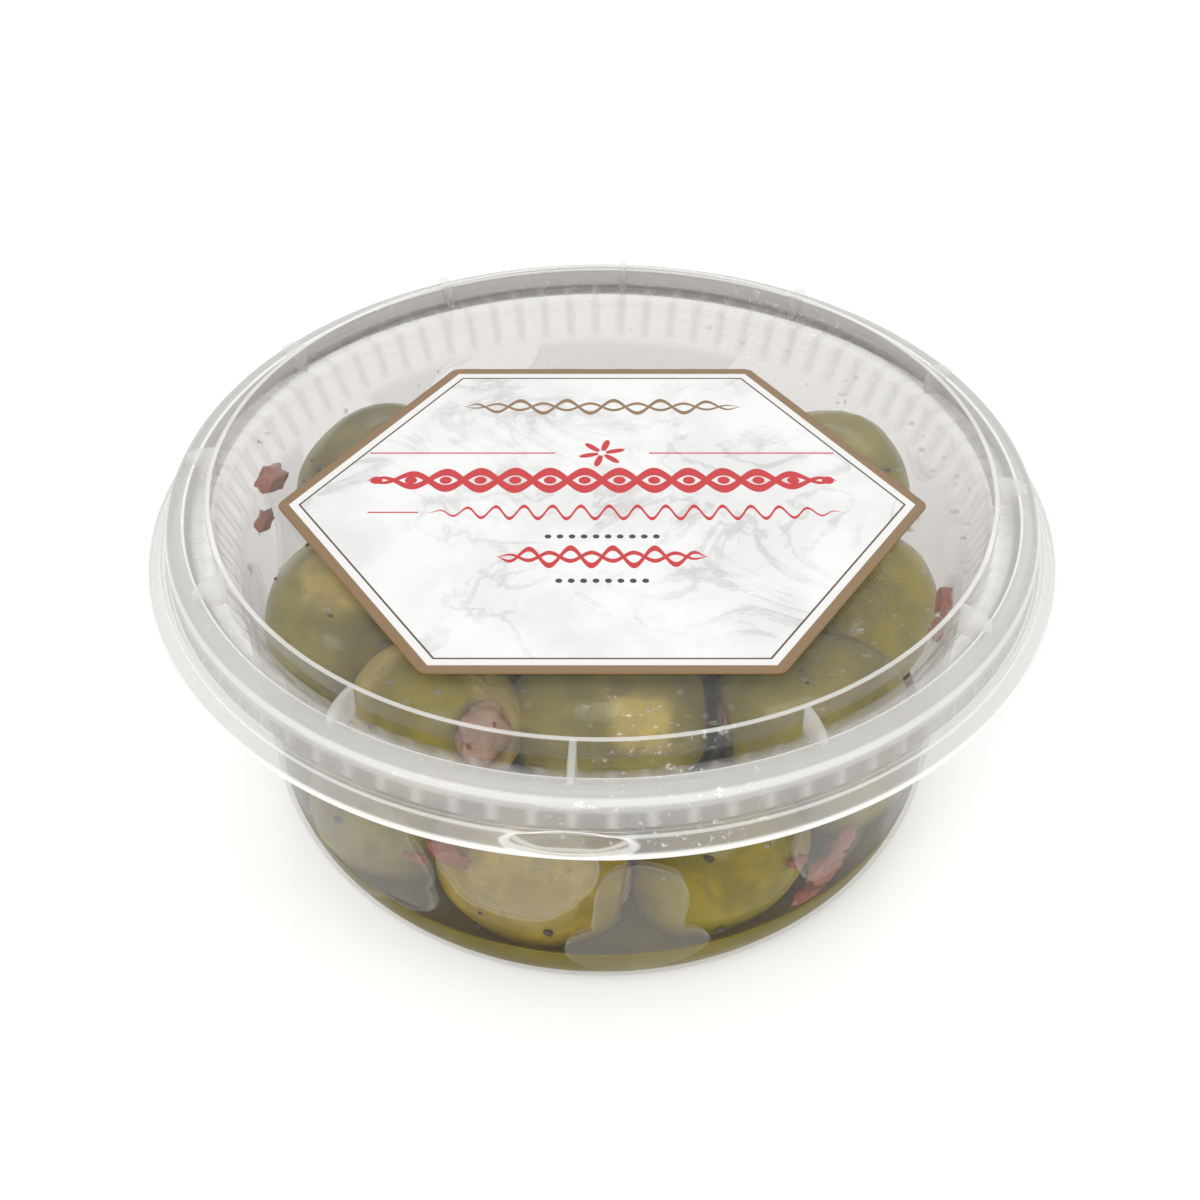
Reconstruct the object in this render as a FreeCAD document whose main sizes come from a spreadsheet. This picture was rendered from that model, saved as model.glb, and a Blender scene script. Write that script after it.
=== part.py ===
"""Tub of stuffed olives: a round clear plastic tub with a push-fit lid, a hexagonal label, a heap
of large olives and a little brine under them.

A FreeCAD 1.1 parametric document. The driving sizes are cells of the sheet Sizes, in millimetres.
The tub, the lid, the label and the brine are PartDesign bodies; the heap of olives is a faceted
solid worked out from the same sizes. The origin is the centre of the base, +Z is up and -Y is the
side with the lid's thumb tab.
"""
import FreeCAD
import Part
import Sketcher
import math
import os

from FreeCAD import Placement, Rotation, Vector

doc = FreeCAD.newDocument("OliveTub")

# ---------------------------------------------------------------------------------------------
# Driving sizes
# ---------------------------------------------------------------------------------------------
SIZES = [
    # tub
    ("wall", 0.7),            # thickness of the tub's wall and floor
    ("tub_tall", 49.8),       # base plane to the top of the rim
    ("base_rad", 45.4),       # where the wall would meet the base plane, before its big rounding
    ("corner_round", 12.0),   # outer rounding between base and wall
    ("kick", 0.5),            # how far the middle of the base is pushed up
    ("kick_rad", 29.0),       # radius of that pushed-up middle
    ("neck_rad", 47.65),      # outer radius where the wall ends and the fluted flare starts
    ("neck_round", 4.0),      # outer rounding of that bend
    ("flare_tall", 4.9),      # height of the fluted flare
    ("mouth_rad", 50.0),      # outer radius at the top of the flare
    ("shelf_drop", 1.6),      # top of the rim down to the shelf that the lid's panel sits in
    ("rim_rad", 55.6),        # outer radius of the rim's turned-down lip
    ("lip_tall", 4.4),        # height of that lip
    ("lip_lean", 0.8),        # how much smaller the lip is at its top
    ("rim_wide", 1.2),        # width of the rim's top
    ("rim_bevel", 0.5),       # bevel along the rim's outer top edge
    ("flute_wide", 1.7),      # width of one flute
    ("flute_deep", 0.8),      # how far a flute stands out of the flare
    ("flutes", 80),           # flutes round the flare
    # lid
    ("lid_wall", 0.7),        # thickness of the lid
    ("lid_round", 1.0),       # rounding of the shoulder over the tub's rim
    ("edge_round", 0.28),     # rounding of the ring's top and of the flange's edge
    ("seat_gap", 0.2),        # clearance between the lid's underside and the tub's rim
    ("skirt_gap", 0.4),       # clearance between the skirt and the rim's lip
    ("ring_rad", 48.9),       # inner radius of the raised stacking ring
    ("ring_tall", 4.1),       # height of that ring above the panel
    ("ring_lean", 0.5),       # how far the ring leans out
    ("ring_wall", 0.7),       # its thickness
    ("gussets", 12),          # webs that brace the ring
    ("gusset_thick", 0.8),
    ("flange_out", 1.7),      # how far the skirt's foot flange stands out
    ("flange_tall", 1.6),     # height of that flange
    ("tab_long", 16.0),       # length of the thumb tab's oval dish
    ("tab_deep", 0.35),       # depth of the dish
    ("lid_turn", -3.6),       # the way the lid happens to be turned on the tub, in degrees
    # label
    ("label_wide", 83.0),
    ("label_deep", 63.0),
    ("label_flat", 41.5),     # length of its two level edges
    ("label_thick", 0.2),
    ("label_round", 1.5),     # radius of its six corners
    ("label_shift", 3.8),     # how far towards the tab it was stuck off centre
    # contents
    ("fill_gap", 0.1),        # clearance of the brine from the plastic
    ("heap_gap", 0.3),        # clearance of the heap from the plastic
    ("brine_level", 6.5),     # surface of the brine above the base plane
    ("olive_long", 25.6),     # length of a typical olive
    ("olive_thick", 19.8),    # its thickness
]

sheet = doc.addObject("Spreadsheet::Sheet", "Sizes")
for row, (alias, value) in enumerate(SIZES, start=1):
    sheet.set("A%d" % row, alias)
    sheet.set("B%d" % row, str(value))
    sheet.setAlias("B%d" % row, alias)
doc.recompute()


def size(alias):
    """One driving size as a number."""
    return float(sheet.get(alias))


# ---------------------------------------------------------------------------------------------
# Ways of working shared by the bodies
# ---------------------------------------------------------------------------------------------
def new_body(label):
    body = doc.addObject("PartDesign::Body", "Body_" + label)
    body.Label = label
    return body


def origin_item(body, role):
    return [item for item in body.Origin.OriginFeatures if item.Role == role][0]


def outline(body, name, points, plane="XZ_Plane"):
    """A closed outline of straight lines in one of the body's origin planes.

    A point is a pair of expressions in the sheet's names, so the outline follows the sheet. A
    coordinate written "0" keeps the point on the sketch's own axis.
    """
    sketch = body.newObject("Sketcher::SketchObject", name)
    sketch.AttachmentSupport = [(origin_item(body, plane), "")]
    sketch.MapMode = "FlatFace"
    spots = [Vector(float(doc.Sizes.evalExpression(across)), float(doc.Sizes.evalExpression(up)), 0)
             for across, up in points]
    count = len(spots)
    for i in range(count):
        sketch.addGeometry(Part.LineSegment(spots[i], spots[(i + 1) % count]), False)
    for i in range(count):
        sketch.addConstraint(Sketcher.Constraint("Coincident", i, 2, (i + 1) % count, 1))
    for i, (across, up) in enumerate(points):
        for kind, axis, text, value in (("DistanceX", -2, across, spots[i].x),
                                        ("DistanceY", -1, up, spots[i].y)):
            if text == "0":
                sketch.addConstraint(Sketcher.Constraint("PointOnObject", i, 1, axis))
            else:
                at = sketch.addConstraint(Sketcher.Constraint(kind, -1, 1, i, 1, value))
                sketch.setExpression("Constraints[%d]" % at, in_sheet(text))
    return sketch


def in_sheet(text):
    """An expression in the sheet's aliases, written so that any object can use it."""
    words = []
    for word in text.replace("(", "( ").replace(")", " )").split():
        words.append("Sizes." + word if word in ALIASES else word)
    return " ".join(words)


ALIASES = [alias for alias, value in SIZES]


def revolve(body, sketch, name):
    """A full turn of an outline about the body's Z axis."""
    turned = body.newObject("PartDesign::Revolution", name)
    turned.Profile = sketch
    turned.ReferenceAxis = (origin_item(body, "Z_Axis"), [""])
    turned.Angle = 360
    doc.recompute()
    return turned


def round_edges(body, base, name, radius, wanted):
    """Rounds the circular edges of a feature for which wanted(radius, height) holds."""
    names = []
    for i, edge in enumerate(base.Shape.Edges, start=1):
        curve = edge.Curve
        if curve.TypeId == "Part::GeomCircle" and wanted(curve.Radius, curve.Center.z):
            names.append("Edge%d" % i)
    fillet = body.newObject("PartDesign::Fillet", name)
    fillet.Base = (base, names)
    fillet.setExpression("Radius", in_sheet(radius))
    doc.recompute()
    return fillet


def turned_pattern(body, feature, name, count):
    """A feature repeated evenly round the body's Z axis."""
    pattern = body.newObject("PartDesign::PolarPattern", name)
    pattern.Originals = [feature]
    pattern.Axis = (origin_item(body, "Z_Axis"), [""])
    pattern.Angle = 360
    pattern.setExpression("Occurrences", in_sheet(count))
    body.Tip = pattern
    doc.recompute()
    return pattern


def near(a, b):
    return abs(a - b) < 1e-4


def at(*corners):
    """Picks the circular edges at these corners of a turned outline."""
    spots = [[float(doc.Sizes.evalExpression(text)) for text in corner] for corner in corners]
    return lambda rad, up: any(near(rad, r) and near(up, z) for r, z in spots)


# ---------------------------------------------------------------------------------------------
# Tub: pushed-up base, big rounded corner, wall with a little draft, fluted flare, shelf and rim
# ---------------------------------------------------------------------------------------------
NECK = "tub_tall - shelf_drop - flare_tall - wall"      # height where the flare starts
SHELF = "tub_tall - shelf_drop"                         # height of the shelf inside the rim
LIP_FOOT = "tub_tall - lip_tall"                        # height of the lip's lower edge
RIM_OUT = "rim_rad - lip_lean"                          # outer radius of the rim at its top
RIM_IN = RIM_OUT + " - rim_wide"

tub = new_body("tub")
tub_outline = outline(tub, "TubOutline", [
    ("0", "kick"),
    ("kick_rad", "kick"),
    ("kick_rad + 2 * kick", "0"),
    ("base_rad", "0"),
    ("neck_rad", NECK),
    ("mouth_rad", SHELF + " - wall"),
    (RIM_OUT + " - wall", SHELF + " - wall"),
    ("rim_rad - wall", LIP_FOOT),
    ("rim_rad", LIP_FOOT),
    (RIM_OUT, "tub_tall - rim_bevel"),
    (RIM_OUT + " - rim_bevel", "tub_tall"),
    (RIM_IN, "tub_tall"),
    (RIM_IN + " - 1.3 * wall", SHELF),
    ("mouth_rad - wall", SHELF),
    ("neck_rad - wall", NECK),
    ("base_rad - wall", "wall"),
    ("kick_rad + 2 * kick", "wall"),
    ("kick_rad", "kick + wall"),
    ("0", "kick + wall"),
])
tub_shell = revolve(tub, tub_outline, "TubShell")
tub_corner = round_edges(tub, tub_shell, "TubCorner", "corner_round", at(("base_rad", "0")))
tub_inner = round_edges(tub, tub_corner, "TubInnerCorner", "corner_round - wall",
                        at(("base_rad - wall", "wall")))
neck_bend = round_edges(tub, tub_inner, "NeckBend", "neck_round", at(("neck_rad", NECK)))
neck_inner = round_edges(tub, neck_bend, "NeckInnerBend", "neck_round + wall",
                         at(("neck_rad - wall", NECK)))
rim_edge = round_edges(tub, neck_inner, "RimEdge", "0.6 * rim_bevel", at(
    (RIM_IN, "tub_tall"), (RIM_OUT + " - rim_bevel", "tub_tall"), (RIM_OUT, "tub_tall - rim_bevel")))

# One flute is a rib that stands out of the flare; eighty of them make the ladder of fine lines
# that shows through the lid, and keep nested tubs from wedging together.
flute_outline = outline(tub, "FluteOutline", [
    ("neck_rad - 0.5 * wall", NECK + " + 0.3 * wall"),
    ("mouth_rad - 0.5 * wall", SHELF + " - 0.5 * wall"),
    ("mouth_rad + flute_deep", SHELF + " - 0.5 * wall"),
    ("mouth_rad + flute_deep", SHELF + " - 2 * wall"),
    ("neck_rad + 0.4 * flute_deep", NECK + " + 0.3 * wall"),
])
flute = tub.newObject("PartDesign::Pad", "Flute")
flute.Profile = flute_outline
flute.Midplane = True
flute.setExpression("Length", in_sheet("flute_wide"))
doc.recompute()
turned_pattern(tub, flute, "Flutes", "flutes")

# ---------------------------------------------------------------------------------------------
# Lid: panel, stacking ring with gussets, cover over the rim, skirt with a foot flange and a tab
# ---------------------------------------------------------------------------------------------
UNDER = SHELF + " + seat_gap"                           # underside of the panel
PANEL = UNDER + " + lid_wall"                           # top of the panel
COVER = "tub_tall + seat_gap + lid_wall"                # top of the cover over the rim
SKIRT = "rim_rad + skirt_gap"                           # inner radius of the skirt at its foot
FOOT = LIP_FOOT + " - 1.1 * flange_tall"                # lower edge of the whole lid

lid = new_body("lid")
lid_outline = outline(lid, "LidOutline", [
    ("0", PANEL),
    ("ring_rad", PANEL),
    ("ring_rad + ring_lean", PANEL + " + ring_tall"),
    ("ring_rad + ring_lean + ring_wall", PANEL + " + ring_tall"),
    ("ring_rad + 1.2 * ring_wall", PANEL),
    (RIM_IN + " - 2 * lid_wall", PANEL),
    (RIM_IN + " - 0.9 * lid_wall", COVER),
    (RIM_OUT + " - 0.2 * lid_wall", COVER),
    (RIM_OUT + " + skirt_gap + lid_wall", COVER + " - 1.6 * lid_wall"),
    (SKIRT + " + lid_wall", LIP_FOOT + " - 0.1 * flange_tall"),
    (SKIRT + " + lid_wall + flange_out", LIP_FOOT + " - 0.8 * flange_tall"),
    (SKIRT + " + lid_wall + flange_out", FOOT),
    (SKIRT + " + flange_out", FOOT),
    (SKIRT + " + 0.8 * flange_out", LIP_FOOT + " - 0.9 * flange_tall"),
    (SKIRT + " - 0.4 * lid_wall", LIP_FOOT + " - 0.45 * flange_tall"),
    (SKIRT, LIP_FOOT + " + 0.1 * flange_tall"),
    (RIM_OUT + " + skirt_gap", "tub_tall - rim_bevel"),
    (RIM_OUT + " - 0.6 * rim_bevel", "tub_tall + seat_gap"),
    (RIM_IN + " - 0.4 * lid_wall", "tub_tall + seat_gap"),
    (RIM_IN + " - 1.6 * lid_wall", UNDER),
    ("0", UNDER),
])
lid_shell = revolve(lid, lid_outline, "LidShell")

# Nothing that a hand or the next tub touches is left sharp.
lid_shoulder = round_edges(lid, lid_shell, "CoverShoulder", "lid_round", at(
    (RIM_OUT + " - 0.2 * lid_wall", COVER),
    (RIM_OUT + " + skirt_gap + lid_wall", COVER + " - 1.6 * lid_wall")))
lid_edges = round_edges(lid, lid_shoulder, "RingAndFlangeEdges", "edge_round", at(
    ("ring_rad + ring_lean", PANEL + " + ring_tall"),
    ("ring_rad + ring_lean + ring_wall", PANEL + " + ring_tall"),
    (SKIRT + " + lid_wall + flange_out", LIP_FOOT + " - 0.8 * flange_tall")))

# A gusset is a thin upright web: full height at the ring, curving down to the cover of the rim.
gusset_outline = outline(lid, "GussetOutline", [
    ("ring_rad + 0.5 * ring_wall", PANEL + " - 0.3 * lid_wall"),
    ("ring_rad + ring_lean + 0.5 * ring_wall", PANEL + " + ring_tall"),
    ("ring_rad + ring_lean + 1.6 * ring_wall", PANEL + " + 0.97 * ring_tall"),
    ("ring_rad + ring_lean + 3.4 * ring_wall", PANEL + " + 0.86 * ring_tall"),
    ("ring_rad + ring_lean + 5 * ring_wall", PANEL + " + 0.68 * ring_tall"),
    (RIM_OUT + " - 1.2 * lid_wall", COVER + " + 0.2 * lid_wall"),
    (RIM_OUT + " - 0.9 * lid_wall", COVER + " - 0.4 * lid_wall"),
    (RIM_IN + " - 0.6 * lid_wall", COVER + " - 0.4 * lid_wall"),
    (RIM_IN + " - 1.45 * lid_wall", PANEL + " - 0.3 * lid_wall"),
])
gusset = lid.newObject("PartDesign::Pad", "Gusset")
gusset.Profile = gusset_outline
gusset.Midplane = True
gusset.setExpression("Length", in_sheet("gusset_thick"))
doc.recompute()
lid_webs = turned_pattern(lid, gusset, "Gussets", "gussets")

# The thumb tab is a shallow oval dish pressed into the sloping face of the foot flange.
dish = lid.newObject("PartDesign::SubtractiveEllipsoid", "TabDish")
dish.AttachmentSupport = [(origin_item(lid, "XY_Plane"), "")]
dish.MapMode = "FlatFace"
dish.setExpression("Radius1", in_sheet("2.4 * tab_deep"))
dish.setExpression("Radius2", in_sheet("0.75 * tab_long"))
dish.setExpression("Radius3", in_sheet("2.8 * tab_deep"))
dish.setExpression(".AttachmentOffset.Base.y",
                   in_sheet("0 - ( " + SKIRT + " + lid_wall + 0.5 * flange_out + 0.9 * tab_deep )"))
dish.setExpression(".AttachmentOffset.Base.z",
                   in_sheet(LIP_FOOT + " - 0.45 * flange_tall + 1.3 * tab_deep"))
doc.recompute()
lid.Tip = dish
lid.Placement = Placement(Vector(0, 0, 0), Rotation(Vector(0, 0, 1), size("lid_turn")))

# ---------------------------------------------------------------------------------------------
# Label: a long hexagon of paper with rounded corners, flat on the lid's panel
# ---------------------------------------------------------------------------------------------
label = new_body("label")
label_outline = outline(label, "LabelOutline", [
    ("0 - label_wide / 2", "0"),
    ("0 - label_flat / 2", "0 - label_deep / 2"),
    ("label_flat / 2", "0 - label_deep / 2"),
    ("label_wide / 2", "0"),
    ("label_flat / 2", "label_deep / 2"),
    ("0 - label_flat / 2", "label_deep / 2"),
], plane="XY_Plane")
sheet_pad = label.newObject("PartDesign::Pad", "LabelSheet")
sheet_pad.Profile = label_outline
sheet_pad.setExpression("Length", in_sheet("label_thick"))
doc.recompute()
upright = ["Edge%d" % i for i, edge in enumerate(sheet_pad.Shape.Edges, start=1)
           if near(edge.BoundBox.ZLength, size("label_thick"))]
label_corners = label.newObject("PartDesign::Fillet", "LabelCorners")
label_corners.Base = (sheet_pad, upright)
label_corners.setExpression("Radius", in_sheet("label_round"))
label.setExpression(".Placement.Base.y", in_sheet("0 - label_shift"))
label.setExpression(".Placement.Base.z", in_sheet(PANEL))
doc.recompute()

# ---------------------------------------------------------------------------------------------
# Brine: what lies in the bottom of the tub, up to its level
# ---------------------------------------------------------------------------------------------
brine = new_body("brine")
brine_outline = outline(brine, "BrineOutline", [
    ("0", "kick + wall + fill_gap"),
    ("kick_rad", "kick + wall + fill_gap"),
    ("kick_rad + 2 * kick", "wall + fill_gap"),
    ("base_rad - wall - fill_gap", "wall + fill_gap"),
    ("neck_rad - wall - fill_gap", NECK),
    ("0", NECK),
])
brine_full = revolve(brine, brine_outline, "BrineFull")
brine_round = round_edges(brine, brine_full, "BrineCorner", "corner_round - wall - fill_gap",
                          lambda rad, up: near(rad, size("base_rad") - size("wall") - size("fill_gap"))
                          and up < size("corner_round"))
surface_outline = outline(brine, "BrineSurface", [
    ("0", "brine_level"),
    ("rim_rad", "brine_level"),
    ("rim_rad", "tub_tall"),
    ("0", "tub_tall"),
])
brine_cut = brine.newObject("PartDesign::Groove", "BrineLevel")
brine_cut.Profile = surface_outline
brine_cut.ReferenceAxis = (origin_item(brine, "Z_Axis"), [""])
brine_cut.Angle = 360
doc.recompute()
brine.Tip = brine_cut


# ---------------------------------------------------------------------------------------------
# Heap of olives: one solid out to the lobes of the olives that lie against wall and lid
# ---------------------------------------------------------------------------------------------
class Olive:
    """An oval: a centre, the way its long axis points, half its length and half its thickness."""

    def __init__(self, centre, heading, tip, half_long, half_thick):
        flat = math.cos(math.radians(tip))
        self.centre = centre
        self.along = Vector(flat * math.cos(heading), flat * math.sin(heading),
                            math.sin(math.radians(tip)))
        self.half_long = half_long
        self.half_thick = half_thick

    def reach(self, eye, ray):
        """How far along a unit ray from eye the oval's far skin lies, or nought if it is missed."""
        off = eye - self.centre
        stretch = self.half_thick / self.half_long
        squeeze_ray = ray + self.along * (ray.dot(self.along) * (stretch - 1))
        squeeze_off = off + self.along * (off.dot(self.along) * (stretch - 1))
        a = squeeze_ray.dot(squeeze_ray)
        b = squeeze_ray.dot(squeeze_off)
        c = squeeze_off.dot(squeeze_off) - self.half_thick ** 2
        under = b * b - a * c
        return (math.sqrt(under) - b) / a if under > 0 else 0.0


def ring_of_olives(count, radius, height, start, gap_at=None):
    """Olives lying in a ring, each a little different in size, height, heading and tip."""
    ring = []
    for i in range(count):
        angle = start + 2 * math.pi * i / count
        if gap_at is not None and math.cos(angle - gap_at) > 0.93:
            continue
        sway = math.sin(2.4 * i + 5 * start)
        grow = 1 + 0.05 * math.sin(3.7 * i + start)
        centre = Vector((radius + 0.8 * sway) * math.cos(angle), (radius + 0.8 * sway) * math.sin(angle),
                        height + 1.4 * math.sin(1.9 * i + 3 * start))
        ring.append(Olive(centre, angle + math.pi / 2 + 0.7 * sway, 10 * math.sin(4.1 * i),
                          0.5 * size("olive_long") * grow, 0.5 * size("olive_thick") * grow))
    return ring


def tub_inside(height):
    """Inner radius of the tub at a height."""
    draft = math.atan2(size("neck_rad") - size("base_rad"),
                       size("tub_tall") - size("shelf_drop") - size("flare_tall") - size("wall"))
    rounding = size("corner_round") - size("wall")
    centre_up = size("wall") + rounding
    straight = size("base_rad") - size("wall") + height * math.tan(draft)
    if height >= centre_up:
        return straight
    centre_rad = size("base_rad") - size("wall") + centre_up * math.tan(draft) - rounding / math.cos(draft)
    drop = min(rounding, centre_up - height)
    return min(straight, centre_rad + math.sqrt(rounding ** 2 - drop ** 2))


def heap_reach(eye, ray, olives, core):
    """How far the heap reaches along a ray: its olives or its core, kept inside tub and lid."""
    far = max([core] + [olive.reach(eye, ray) for olive in olives])
    low = size("brine_level")
    high = size("tub_tall") - size("shelf_drop") + size("seat_gap") - size("heap_gap")
    if ray.z < 0:
        far = min(far, (low - eye.z) / ray.z)
    if ray.z > 0:
        far = min(far, (high - eye.z) / ray.z)
    side = math.hypot(ray.x, ray.y)
    for step in range(40):
        room = tub_inside(eye.z + ray.z * far) - size("heap_gap")
        if side * far > room:
            far = 0.5 * (far + room / side) if step < 36 else room / side
    return far


def heap_solid():
    """The heap as seen from a point on the tub's axis: one facet corner for each direction."""
    inside = tub_inside(20) - size("heap_gap")
    half = 0.5 * size("olive_thick")
    first, second = size("brine_level") + 0.75 * half, size("brine_level") + 2.35 * half
    front = -math.pi / 2
    olives = ring_of_olives(10, inside - 0.93 * half, first, 0.2)
    olives += ring_of_olives(4, 1.3 * half, first, 0.7)
    olives += ring_of_olives(9, inside - 1.12 * half, second, front + 0.3, gap_at=math.pi / 2)
    olives += ring_of_olives(3, 1.2 * half, second, front)
    eye = Vector(0, 0, size("brine_level") + half)
    around, upward = 64, 22
    low_ray = -math.atan2(eye.z - size("brine_level"), 0.8 * inside)
    corners = []
    for level in range(upward):
        lift = low_ray + (math.pi / 2 - low_ray) * level / upward
        for i in range(around):
            turn = 2 * math.pi * (i + 0.5 * (level % 2)) / around
            ray = Vector(math.cos(lift) * math.cos(turn), math.cos(lift) * math.sin(turn), math.sin(lift))
            corners.append(eye + ray * heap_reach(eye, ray, olives, 1.9 * half))
    bottom = Vector(eye.x, eye.y, size("brine_level"))
    for i in range(around):
        corners[i].z = size("brine_level")
    top = eye + Vector(0, 0, heap_reach(eye, Vector(0, 0, 1), olives, 1.9 * half))
    faces = []
    for i in range(around):
        j = (i + 1) % around
        faces.append((bottom, corners[j], corners[i]))
        for level in range(upward - 1):
            a, b = level * around + i, level * around + j
            c, d = a + around, b + around
            if level % 2:
                faces += [(corners[a], corners[b], corners[d]), (corners[a], corners[d], corners[c])]
            else:
                faces += [(corners[a], corners[b], corners[c]), (corners[b], corners[d], corners[c])]
        last = (upward - 1) * around
        faces.append((corners[last + i], corners[last + j], top))
    skin = Part.Shell([Part.Face(Part.makePolygon([a, b, c, a])) for a, b, c in faces])
    skin.sewShape()
    solid = Part.Solid(skin)
    if solid.Volume < 0:
        solid.reverse()
    return solid


heap = doc.addObject("Part::Feature", "Heap")
heap.Label = "olives"
heap.Shape = heap_solid()
heap.Placement = Placement(Vector(0, 0, 0), Rotation(0, 0, 0, 1))

# ---------------------------------------------------------------------------------------------
# Check and export
# ---------------------------------------------------------------------------------------------
doc.recompute()
for item in doc.Objects:
    if "Invalid" in item.State or "Error" in item.State:
        raise RuntimeError("%s failed: %s" % (item.Name, item.State))

os.makedirs("parts", exist_ok=True)
for piece in (tub, lid, label, brine, heap):
    shape = piece.Shape
    if shape.isNull() or not shape.isValid() or len(shape.Solids) != 1:
        raise RuntimeError("%s is not one valid solid" % piece.Label)
    shape.exportStep("parts/%s.step" % piece.Label)
    box = shape.BoundBox
    print("%-8s volume %9.1f mm3  box %.2f x %.2f x %.2f  z %.2f to %.2f  faces %d" % (
        piece.Label, shape.Volume, box.XLength, box.YLength, box.ZLength, box.ZMin, box.ZMax,
        len(shape.Faces)))
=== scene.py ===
# %% [markdown]
# # A tub of stuffed olives
#
# The thing itself is simple: a thin round tub of clear polypropylene, a push-fit lid of the same
# plastic with a raised stacking ring, a paper label lying flat on the lid, and large green olives
# in a little oily brine. The work is in the looks. Almost everything is seen *through* something
# else, so the lesson is mostly about clear and milky plastic, wet skins, and what touches what.
#
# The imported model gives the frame: every piece below is made in its place, in metres, with the
# origin in the middle of the base, +Z up and -Y towards the thumb tab.

# %% Load the frame
import math
import random
from collections import namedtuple

import bmesh
import bpy
import numpy as np
from mathutils import Matrix, Vector, noise


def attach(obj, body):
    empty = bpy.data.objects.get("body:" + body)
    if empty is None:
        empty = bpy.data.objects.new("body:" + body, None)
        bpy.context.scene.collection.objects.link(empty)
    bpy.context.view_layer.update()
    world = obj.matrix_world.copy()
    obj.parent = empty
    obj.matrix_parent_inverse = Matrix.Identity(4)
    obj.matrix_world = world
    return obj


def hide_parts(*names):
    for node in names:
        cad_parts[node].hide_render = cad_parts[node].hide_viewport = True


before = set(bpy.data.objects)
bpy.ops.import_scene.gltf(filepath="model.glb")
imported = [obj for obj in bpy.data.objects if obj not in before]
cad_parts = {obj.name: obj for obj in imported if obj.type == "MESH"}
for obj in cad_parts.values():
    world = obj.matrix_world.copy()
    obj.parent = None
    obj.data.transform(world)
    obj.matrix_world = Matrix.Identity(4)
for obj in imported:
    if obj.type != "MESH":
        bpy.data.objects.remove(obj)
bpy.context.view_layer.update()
MM = 0.001

# %% [markdown]
# ## Camera first
#
# A product shot like this is taken from close by, looking down at about forty degrees. The camera
# goes in first, because every later choice is judged through it. The near distance matters: it
# makes the front of the lid visibly larger than the back.

# %% Camera
PITCH = math.radians(40.5)
DISTANCE = 0.240
AIM = Vector((-0.00027, 0.0, 0.0301))

camera_data = bpy.data.cameras.new("Camera")
camera_data.sensor_width = 36.0
camera_data.lens = 52.95
camera_data.clip_start = 0.01
camera = bpy.data.objects.new("Camera", camera_data)
bpy.context.scene.collection.objects.link(camera)
camera.location = AIM + DISTANCE * Vector((0, -math.cos(PITCH), math.sin(PITCH)))
camera.rotation_euler = (math.pi / 2 - PITCH, 0, 0)
bpy.context.scene.camera = camera
bpy.context.scene.view_settings.view_transform = "Standard"
print("camera at", [round(c, 4) for c in camera.location])

# %% [markdown]
# ## Shader maths as plain expressions
#
# A node tree is hard to read as a list of nodes and links. One small class wraps a socket, so that
# `1 - mask` or `mask * 0.3` adds the Math node it needs. Another holds a tree and has a single
# method that makes every node: its type first, then its settings, then its sockets.


# %% A socket that can be used in an expression
class Signal:
    """A value that changes over the surface: an output socket of a node."""

    def __init__(self, finish, socket):
        self.finish = finish
        self.socket = socket

    def maths(self, operation, *values):
        return self.finish.node("Math", {"operation": operation}, dict(enumerate(values)))

    def __add__(self, other):
        return self.maths("ADD", self, other)

    __radd__ = __add__

    def __sub__(self, other):
        return self.maths("SUBTRACT", self, other)

    def __rsub__(self, other):
        return self.maths("SUBTRACT", other, self)

    def __mul__(self, other):
        return self.maths("MULTIPLY", self, other)

    __rmul__ = __mul__

    def __truediv__(self, other):
        return self.maths("DIVIDE", self, other)

    def __rtruediv__(self, other):
        return self.maths("DIVIDE", other, self)

    def __pow__(self, other):
        return self.maths("POWER", self, other)

    def __abs__(self):
        return self.maths("ABSOLUTE", self)

    def sine(self):
        return self.maths("SINE", self)

    def fraction(self):
        return self.maths("FRACT", self)

    def angle_over(self, base):
        """The angle, in radians, of a slope that rises by this over base."""
        return self.maths("ARCTAN2", self, base)

    def either(self, other):
        return self.maths("MAXIMUM", self, other)

    def both(self, other):
        return self.maths("MINIMUM", self, other)


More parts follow.
